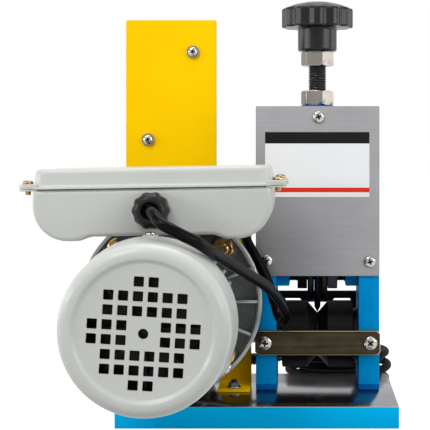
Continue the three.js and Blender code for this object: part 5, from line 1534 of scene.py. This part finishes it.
    def _infeed_plate(self) -> None:
        """Makes the black plate that the wire goes in through."""
        y, z = self.near_face + self.depth + self.seat, DECK + self.infeed_rise
        place = placed(FRAME_X, y + self.infeed, z, FACING)
        half, drop, low, high, depth = 28.0, 12.35, -2.0, 18.7, 3.1
        slot = rounded([(-half, low), (half, low), (half, high), (drop + 2, high), (drop, high - depth),
                        (-drop, high - depth), (-drop - 2, high), (-half, high)], 1.0, steps=3)
        plate = slab("slotted_infeed_plate", rectangle(self.width, 50.0, 3.0), 0.0, self.infeed, place)
        carved(plate, slab("slot", slot, -3.0, 3.0 + self.infeed, place))
        dressed(smoothed(bevelled(plate, 0.4, 2, 40)), "infeed_plate", BLACK_STEEL)
        places = [(FRAME_X + side * 42.0, y + self.infeed + 0.1, z + end * 18.5)
                  for side in BOTH for end in BOTH]
        screws = self.workshop.screws_at("infeed_plate_screws", COVER_SCREW, places, CHROME, turn(-90, "X"))
        dressed(screws, "", CHROME, RECESS_SHADE)


@dataclass
class BladeUnit:
    """The blade between its hubs on a threaded shaft, the yoke and the hand screw.

    Attributes:
        workshop: the shared recipes.
        top: height of the top plate's upper face over the base plate.
        knob_rise: the knob's height over the top plate.
        lobes: how many lobes the knob has.
        lobe_depth: how deep the hollows between them are.
        seat: gap between pieces that are clamped together.
        bore: radius of the holes for the adjusting screw.
        nut: from the middle of a large nut to its corners.
    """

    workshop: Workshop
    top: float = 224.7
    knob_rise: float = 45.6
    lobes: int = 12
    lobe_depth: float = 2.3
    seat: float = 0.3
    bore: float = 7.35
    nut: float = 13.5

    def build(self) -> None:
        """Makes the unit's pieces."""
        self._blade()
        self._shaft()
        self._yoke()
        self._hand_screw()
        self._knob()

    def _blade(self) -> None:
        """Makes the disc blade, its clamping hubs and their nuts."""
        inner = 6.35
        disc = [(inner, -2.5), (26.6, -2.5), (27.2, -2.35), (30.9, -0.2), (31.0, 0.0), (30.9, 0.2),
                (27.2, 2.35), (26.6, 2.5), (inner, 2.5)]
        blade = turned("ground_blade", disc, BLADE_AXIS, 144, closed=True)
        dressed(smoothed(blade, 8), "blade", BLADE_STEEL, body="slitter")
        section = rounded([(inner, -2.6), (21.2, -2.6), (22.4, -1.4), (22.4, 1.4), (21.2, 2.6), (inner, 2.6)],
                          0.4, steps=3)
        hub_reach, nut_reach, half = 5.4, 12.25, 3.9
        # Both clamp nuts are alike: the left is painted dark as shade, the right grey as a painted
        # reflection.
        for (name, side), finish in zip(SIDES, (DARK_STEEL_AND_NUT_SHADE, GREY_NUT_AND_NUT_REFLECTION)):
            hub = turned(f"turned_hub_{name}", section, BLADE_AXIS @ placed(0, 0, side * hub_reach), 96,
                         closed=True)
            dressed(smoothed(hub), f"blade_hub_{name}", BLACK_STEEL, body="slitter")
            nut = hexagon(self.nut, side * nut_reach - half, side * nut_reach + half, 1.3,
                          BLADE_AXIS @ turn(30), 6.2)
            nut.name = f"clamp_nut_{name}"
            dressed(nut, f"shaft_nut_{name}", finish, body="carriage")

    def _shaft(self) -> None:
        """Makes the threaded shaft that carries the blade."""
        core = turned("shaft_core", rod(5.3, -31.8, 31.8), BLADE_AXIS, 40, BLACK_STEEL)
        ridges = [self.workshop.threaded("shaft_thread", 5.16, 1.75, 14.6, BLACK_STEEL,
                                         BLADE_AXIS @ placed(0, 0, start)) for start in (-31.0, 16.4)]
        shaft = smoothed(merged("threaded_blade_shaft", [core, *ridges]), 25)
        dressed(shaft, "blade_shaft", BLACK_STEEL, body="carriage")

    def _yoke(self) -> None:
        """Makes the sliding block and its two arms."""
        block = bored(slab("sliding_block", rectangle(64.4, 40.0), 123.0, 177.4, FRAME), self.bore, 151.4,
                      190, FRAME)
        dressed(smoothed(bevelled(block, 0.5, 2, 40)), "yoke_block", BLUE, body="carriage")
        for name, side in SIDES:
            arm = slab(f"sliding_arm_{name}", rectangle(9.7, 40.0), 81.25, 122.7,
                       FRAME @ placed(side * 27.35, 0, 0))
            bored(arm, 6.3, -40, 40, BLADE_AXIS)
            dressed(smoothed(bevelled(arm, 0.5, 2, 40)), f"yoke_arm_{name}", BLUE, body="carriage")

    def _hand_screw(self) -> None:
        """Makes the threaded rod, the nut under the knob, and the nut and washer on the top plate."""
        low, high = 151.7, 282.0
        profile = [(0, low), (5.4, low), (6.1, low + 0.8), (6.1, high - 0.8), (5.4, high), (0, high)]
        core = turned("rod", profile, FRAME, 48, ROD)
        ridge = self.workshop.threaded("rod_thread", 6.22, 2.0, 126.0, ROD, FRAME @ placed(0, 0, low + 2.0))
        dressed(smoothed(merged("threaded_rod", [core, ridge]), 25), "adjusting_screw", ROD, body="screw")
        thickness, washer = 11.7, 1.2
        for name, low, body in (("knob_nut", self.top + self.knob_rise - self.seat - thickness, "screw"),
                                ("lock_nut", self.top + 2 * self.seat + washer, "machine")):
            nut = hexagon(self.nut, low, low + thickness, 1.6, FRAME @ turn(-12), 7.3, (STEEL, NUT_EDGE_HIGHLIGHT))
            nut.name = f"{name}_hexagon"
            dressed(nut, name, STEEL, NUT_EDGE_HIGHLIGHT, body=body)
        low, high = self.top + self.seat, self.top + self.seat + washer
        ring = rounded([(7.4, low), (13.6, low), (13.6, high), (7.4, high)], 0.3)
        dressed(smoothed(turned("plain_washer", ring, FRAME, 64, closed=True)), "lock_washer", DEEP_BLUE_AND_FOOT_SHADE)

    def _knob(self) -> None:
        """Makes the lobed knob with its hub and shallow dome."""
        profile = [(0.0, 12.0), (7.3, 12.0), (7.3, 0.0), (14.9, 0.0), (15.6, 0.6), (15.8, 1.6), (15.8, 2.2),
                   (15.8, 17.0), (15.8, 17.6), (16.2, 18.6), (17.2, 19.0), (22.0, 19.0), (27.6, 19.0),
                   (28.5, 19.3), (28.9, 20.1), (28.9, 20.8), (28.9, 32.3), (28.9, 33.0), (28.7, 34.0),
                   (28.0, 34.6), (26.0, 35.3), (22.0, 36.8), (16.0, 38.5), (10.0, 39.7), (4.0, 40.3),
                   (0.0, 40.4)]
        shares = [0.0] * 11 + [0.5] + [1.0] * 7 + [0.95, 0.75, 0.35, 0.1, 0.0, 0.0, 0.0]
        knob = Drawing().lathe(
            profile, FRAME @ placed(0, 0, self.top + self.knob_rise), 192, False,
            lambda angle: -self.lobe_depth * (0.5 - 0.5 * math.cos(angle * self.lobes)) ** 1.6, shares)
        dressed(smoothed(knob.as_object("lobed_knob"), 50), "knob", KNOB_BLACK, body="screw")


@dataclass
class Feed:
    """The knurled roller, its shaft and the gearbox that turns it.

    Attributes:
        workshop: the shared recipes.
        ridges: how many ridges the knurl has.
        boss: radius of the gearbox's round boss and cover.
        boss_end: how far its bosses stand out from its middle.
    """

    workshop: Workshop
    ridges: int = 96
    boss: float = 33.0
    boss_end: float = 31.5

    def build(self) -> None:
        """Makes the feed's pieces."""
        self._roller()
        self._shaft()
        self._housing()
        self._gearbox_cover()

    def _roller(self) -> None:
        """Makes the roller: two knurled halves with a groove between them and a collar at each end."""
        section = mirrored([(7.8, 32.2), (20.3, 32.2), (20.5, 32.0), (20.5, 28.7), (25.6, 28.7),
                            (26.3, 28.0), (26.3, 8.2), (17.5, 0.4)])
        parts = [turned("roller_core", section, FEED_AXIS, 128, BLACK_STEEL, closed=True)]
        for start, end in ((-28.2, -8.6), (8.6, 28.2)):
            ridge = slab("ridge", [(25.9, -0.62), (26.95, -0.1), (26.95, 0.1), (25.9, 0.62)], start, end)
            parts.append(self.workshop.copies_round("knurl", ridge, self.ridges, BLACK_STEEL, FEED_AXIS))
        dressed(smoothed(merged("knurled_roller", parts), 25), "feed_roller", BLACK_STEEL, body="roller")

    def _shaft(self) -> None:
        """Makes the shaft that runs from the gearbox through the roller."""
        profile = rounded(rod(7.5, -138.8, 47.8), [0, 0.8, 0.8, 0], closed=False)
        shaft = turned("ground_shaft", profile, FEED_AXIS, 64)
        dressed(smoothed(shaft), "feed_shaft", STEEL, body="roller")

    def _housing(self) -> None:
        """Makes the gearbox casting with its boss and its neck towards the motor."""
        centre = placed(DRIVE_X, FRAME_Y, DECK)
        body = bevelled(slab("housing_body", rectangle(97.6, 80.0, 11.0, 8), -26.0, 26.0,
                             centre @ placed(0, 0, 49.1, (90, "Y"))), 2.2, 4, 60)
        chamfer = [(8.0, self.boss_end), (self.boss - 2.0, self.boss_end), (self.boss, self.boss_end - 1.5)]
        boss = turned("housing_boss", mirrored(chamfer), centre @ placed(0, 0, FEED_RISE, (90, "Y")), 96,
                      closed=True)
        outline = rounded([(12.6, -58.4), (68.5, -58.4), (68.5, -48.4), (34.0, -48.4), (28.0, -44.0),
                           (28.0, -20.0), (12.6, -20.0)], [0, 1.0, 1.0, 3.0, 4.0, 0, 0])
        neck = turned("housing_neck", outline, centre @ placed(0, 0, 73.7, (-90, "X")), 128, closed=True)
        housing = merged("gearbox_casting", [painted(part, CAST) for part in (body, boss, neck)])
        dressed(smoothed(housing, 35), "gearbox_housing", CAST)

    def _gearbox_cover(self) -> None:
        """Makes the round cover on the gearbox's free side, with its screws."""
        section = rounded([(8.0, 0.0), (self.boss, 0.0), (self.boss, 3.6), (31.2, 5.5), (14.0, 5.5),
                           (13.0, 4.2), (8.0, 4.2)], 0.5, steps=3)
        face = DRIVE_X - self.boss_end - 0.3
        place = placed(face, FRAME_Y, DECK + FEED_RISE, (-90, "Y"))
        cover = turned("turned_gearbox_cover", section, place, 96, closed=True)
        dressed(smoothed(cover), "gearbox_cover", CAST_RIM)
        places = [(face - 5.4, y, z) for y, z in arc(FRAME_Y, DECK + FEED_RISE, 27.0, 45, 315, 3)]
        screws = self.workshop.screws_at("gearbox_cover_screws", PanScrew(3.6, 2.4, 1.3), places, CHROME,
                                         turn(-90, "Y"))
        dressed(screws, "", CHROME, RECESS_SHADE)


# Base and switch stand

@dataclass
class Base:
    """The base plate: blue at its edges, polished on top."""

    width: float = 210.8
    depth: float = 152.5

    def build(self) -> None:
        """Makes the plate."""
        plate = slab("base_slab", rectangle(self.width, self.depth), 0.0, DECK, Matrix(), BASE_BLUE, BASE_TOP)
        bevelled(plate, 0.5, 2, 40)
        for face in plate.data.polygons:
            face.material_index = int(face.normal.z > 0.3)
        dressed(smoothed(plate), "base_plate", BASE_BLUE, BASE_TOP)


@dataclass
class SwitchStand:
    """The yellow bracket with the switch box and its buttons.

    Attributes:
        workshop: the shared recipes.
        place: the bracket's own frame, which looks at the camera side.
        sheet: thickness of the bracket.
        leg: X of the leg's two edges.
        middle: the middle of the switch box.
        back, deep: how far behind the bracket's face the box starts, and its depth.
        button_gap: distance of each button from the middle.
        button_hole: radius of the buttons' holes.
    """

    workshop: Workshop
    place: Matrix = field(default_factory=lambda: placed(DRIVE_X, 13.0, DECK, FACING))
    sheet: float = 2.5
    leg: Point2 = (34.3, 59.6)
    middle: Point2 = (-5.4, 233.6)
    back: float = 2.8
    deep: float = 28.0
    button_gap: float = 21.0
    button_hole: float = 11.35

    def build(self) -> None:
        """Makes the stand's pieces."""
        self._bracket()
        self._foot_bolt()
        self._switch_box()
        for name, side, finish in (("start", 1, GREEN), ("stop", -1, RED)):
            self._button(name, side, finish)
        for name, side in (("upper", 1), ("lower", -1)):
            self._screw(name, side)

    def _bracket(self) -> None:
        """Makes the bent plate: panel, shoulder, leg and foot."""
        left, right = self.leg
        panel = rounded([(left, 0.3), (right, 0.3), (right, 133.6), (31.5, 133.6), (31.5, 294.6),
                         (-41.3, 294.6), (-41.3, 101.6), (left, 101.6)],
                        [0, 0, 2.0, 2.0, 1.8, 1.8, 2.0, 2.0])
        plate = bevelled(slab("bracket_plate", panel, -self.sheet, 0.0, self.place), 0.3, 2, 50)
        bend = [(-self.sheet, 2.9), *arc(0.1, 2.9, 2.6, 195, 270, 5), (30.5, 0.3), (30.5, 2.8),
                *arc(2.4, 5.2, 2.4, 270, 180, 6)]
        foot = Drawing().loft([[self.place @ Vector((x, rise, out)) for out, rise in bend]
                               for x in self.leg])
        foot = bevelled(foot.as_object("bracket_foot"), 0.3, 2, 50)
        bracket = merged("bent_bracket", [painted(plate, YELLOW), painted(foot, YELLOW)])
        dressed(smoothed(bracket), "switch_bracket", YELLOW)

    def _foot_bolt(self) -> None:
        """Makes the black stud that holds the foot, with its nut and washer."""
        place = self.place @ placed(46.95, 3.1, 23.5, (-90, "X"))
        nut = hexagon(4.4, 1.0, 4.0, 0.5, place @ turn(8))
        washer = turned("washer", rounded(rod(5.7, 0, 1.0), [0, 0.3, 0.3, 0], closed=False), place, 48)
        stud = turned("stud", [(0, -11), (2.4, -11), (2.4, 5.8), (2.0, 6.2), (0, 6.2)], place, 24)
        bolt = merged("foot_stud_and_nut", [painted(washer, CHROME), painted(nut, GREY_NUT_AND_NUT_REFLECTION),
                                            painted(stud, BLACK_STEEL)])
        dressed(smoothed(bolt, 25), "foot_bolt", CHROME, GREY_NUT_AND_NUT_REFLECTION, BLACK_STEEL)

    def _on_box(self, x: float, y: float, z: float, *turns: tuple[float, str]) -> Matrix:
        """A place on the switch box, from its middle."""
        return self.place @ placed(self.middle[0] + x, self.middle[1] + y, z, *turns)

    def _switch_box(self) -> None:
        """Makes the moulded box with its parting line and the raised rings round the buttons."""
        levels = [(1.2, 0.0), (0.0, 0.6), (0.0, 9.4), (0.8, 9.8), (0.8, 10.4), (0.0, 10.8),
                  (0.0, self.deep - 2.6), (0.9, self.deep - 0.9), (2.8, self.deep)]
        body = Drawing().loft([[self._on_box(0, 0, -self.back - depth) @ Vector((x, y, 0)) for x, y
                                in rectangle(55.0 - inset, 100.0 - inset, 5.0 - inset / 3, 6)]
                               for inset, depth in reversed(levels)])
        box, hole = body.as_object("box_moulding"), self.button_hole
        section = rounded([(hole, -1.0), (13.4, -1.0), (13.4, 0.4), (12.8, 1.2), (hole, 1.2)], 0.3, steps=3)
        bezels = []
        for side in BOTH:
            at = self._on_box(0, side * self.button_gap, -self.back - self.deep, (180, "X"))
            bored(box, hole, -6, 6, at, 64)
            bezels.append(turned("bezel", section, at, 72, closed=True))
        whole = smoothed(merged("switch_box_moulding", [box, *bezels]), 35)
        dressed(whole, "switch_box", BLACK_PLASTIC)

    def _button(self, name: str, side: int, finish: Finish) -> None:
        """Makes a press button with a dished face."""
        at = self._on_box(0, side * self.button_gap, -self.back - self.deep, (180, "X"))
        section = [(0, -7.0), (12.6, -7.0), (12.6, -5.2), (11.0, -5.2), (11.0, 3.9), (10.7, 4.6),
                   (10.0, 5.0), (8.8, 4.9), (5.0, 4.5), (0, 4.3)]
        cap = turned(f"{name}_cap", section, at, 72)
        dressed(smoothed(cap, 35), f"{name}_button", finish, body=name)

    def _screw(self, name: str, side: int) -> None:
        """Makes a screw that holds the switch box, with its washer."""
        at, thickness = self._on_box(side * 18.0, side * 35.3, 0.3), 1.2
        section = rounded([(2.2, 0.0), (5.1, 0.0), (5.1, thickness), (2.2, thickness)], 0.3)
        washer = turned("washer", section, at, 56, STEEL, closed=True)
        top = at @ placed(0, 0, thickness)
        head = self.workshop.screws_at("switch_screw", PanScrew(3.9, 2.8, 1.6, 2.0, 14.0),
                                       [tuple(top.translation)], CHROME, top.to_3x3().to_4x4())
        screw = merged(f"switch_box_screw_{name}", [washer, head])
        dressed(smoothed(screw, PanScrew.smooth), f"switch_screw_{name}", STEEL, CHROME, RECESS_SHADE)


# Inner pieces that keep their solids

KEPT = {
    "worm_wheel": GEAR_BRONZE, "worm": STEEL, "stator": WINDING, "rotor": DARK_STEEL_AND_NUT_SHADE, "fan": BLACK_PLASTIC,
    "capacitor": WHITE,
}


def main() -> None:
    """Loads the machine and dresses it."""
    logging.basicConfig(level=logging.INFO, format="%(name)s: %(message)s")
    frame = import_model()
    Studio().build()
    Cords().build()
    workshop = Workshop()
    for unit in (Base(), Motor(workshop), TerminalBox(workshop), FeedFrame(workshop), BladeUnit(workshop),
                 Feed(workshop), SwitchStand(workshop)):
        unit.build()
        LOG.info("%s done", type(unit).__name__)
    for name, finish in KEPT.items():
        frame["nodes"][name].data.materials.clear()
        painted(frame["nodes"][name], finish)
        LOG.info("%s keeps its solid", name)


if __name__ == "__main__":
    main()
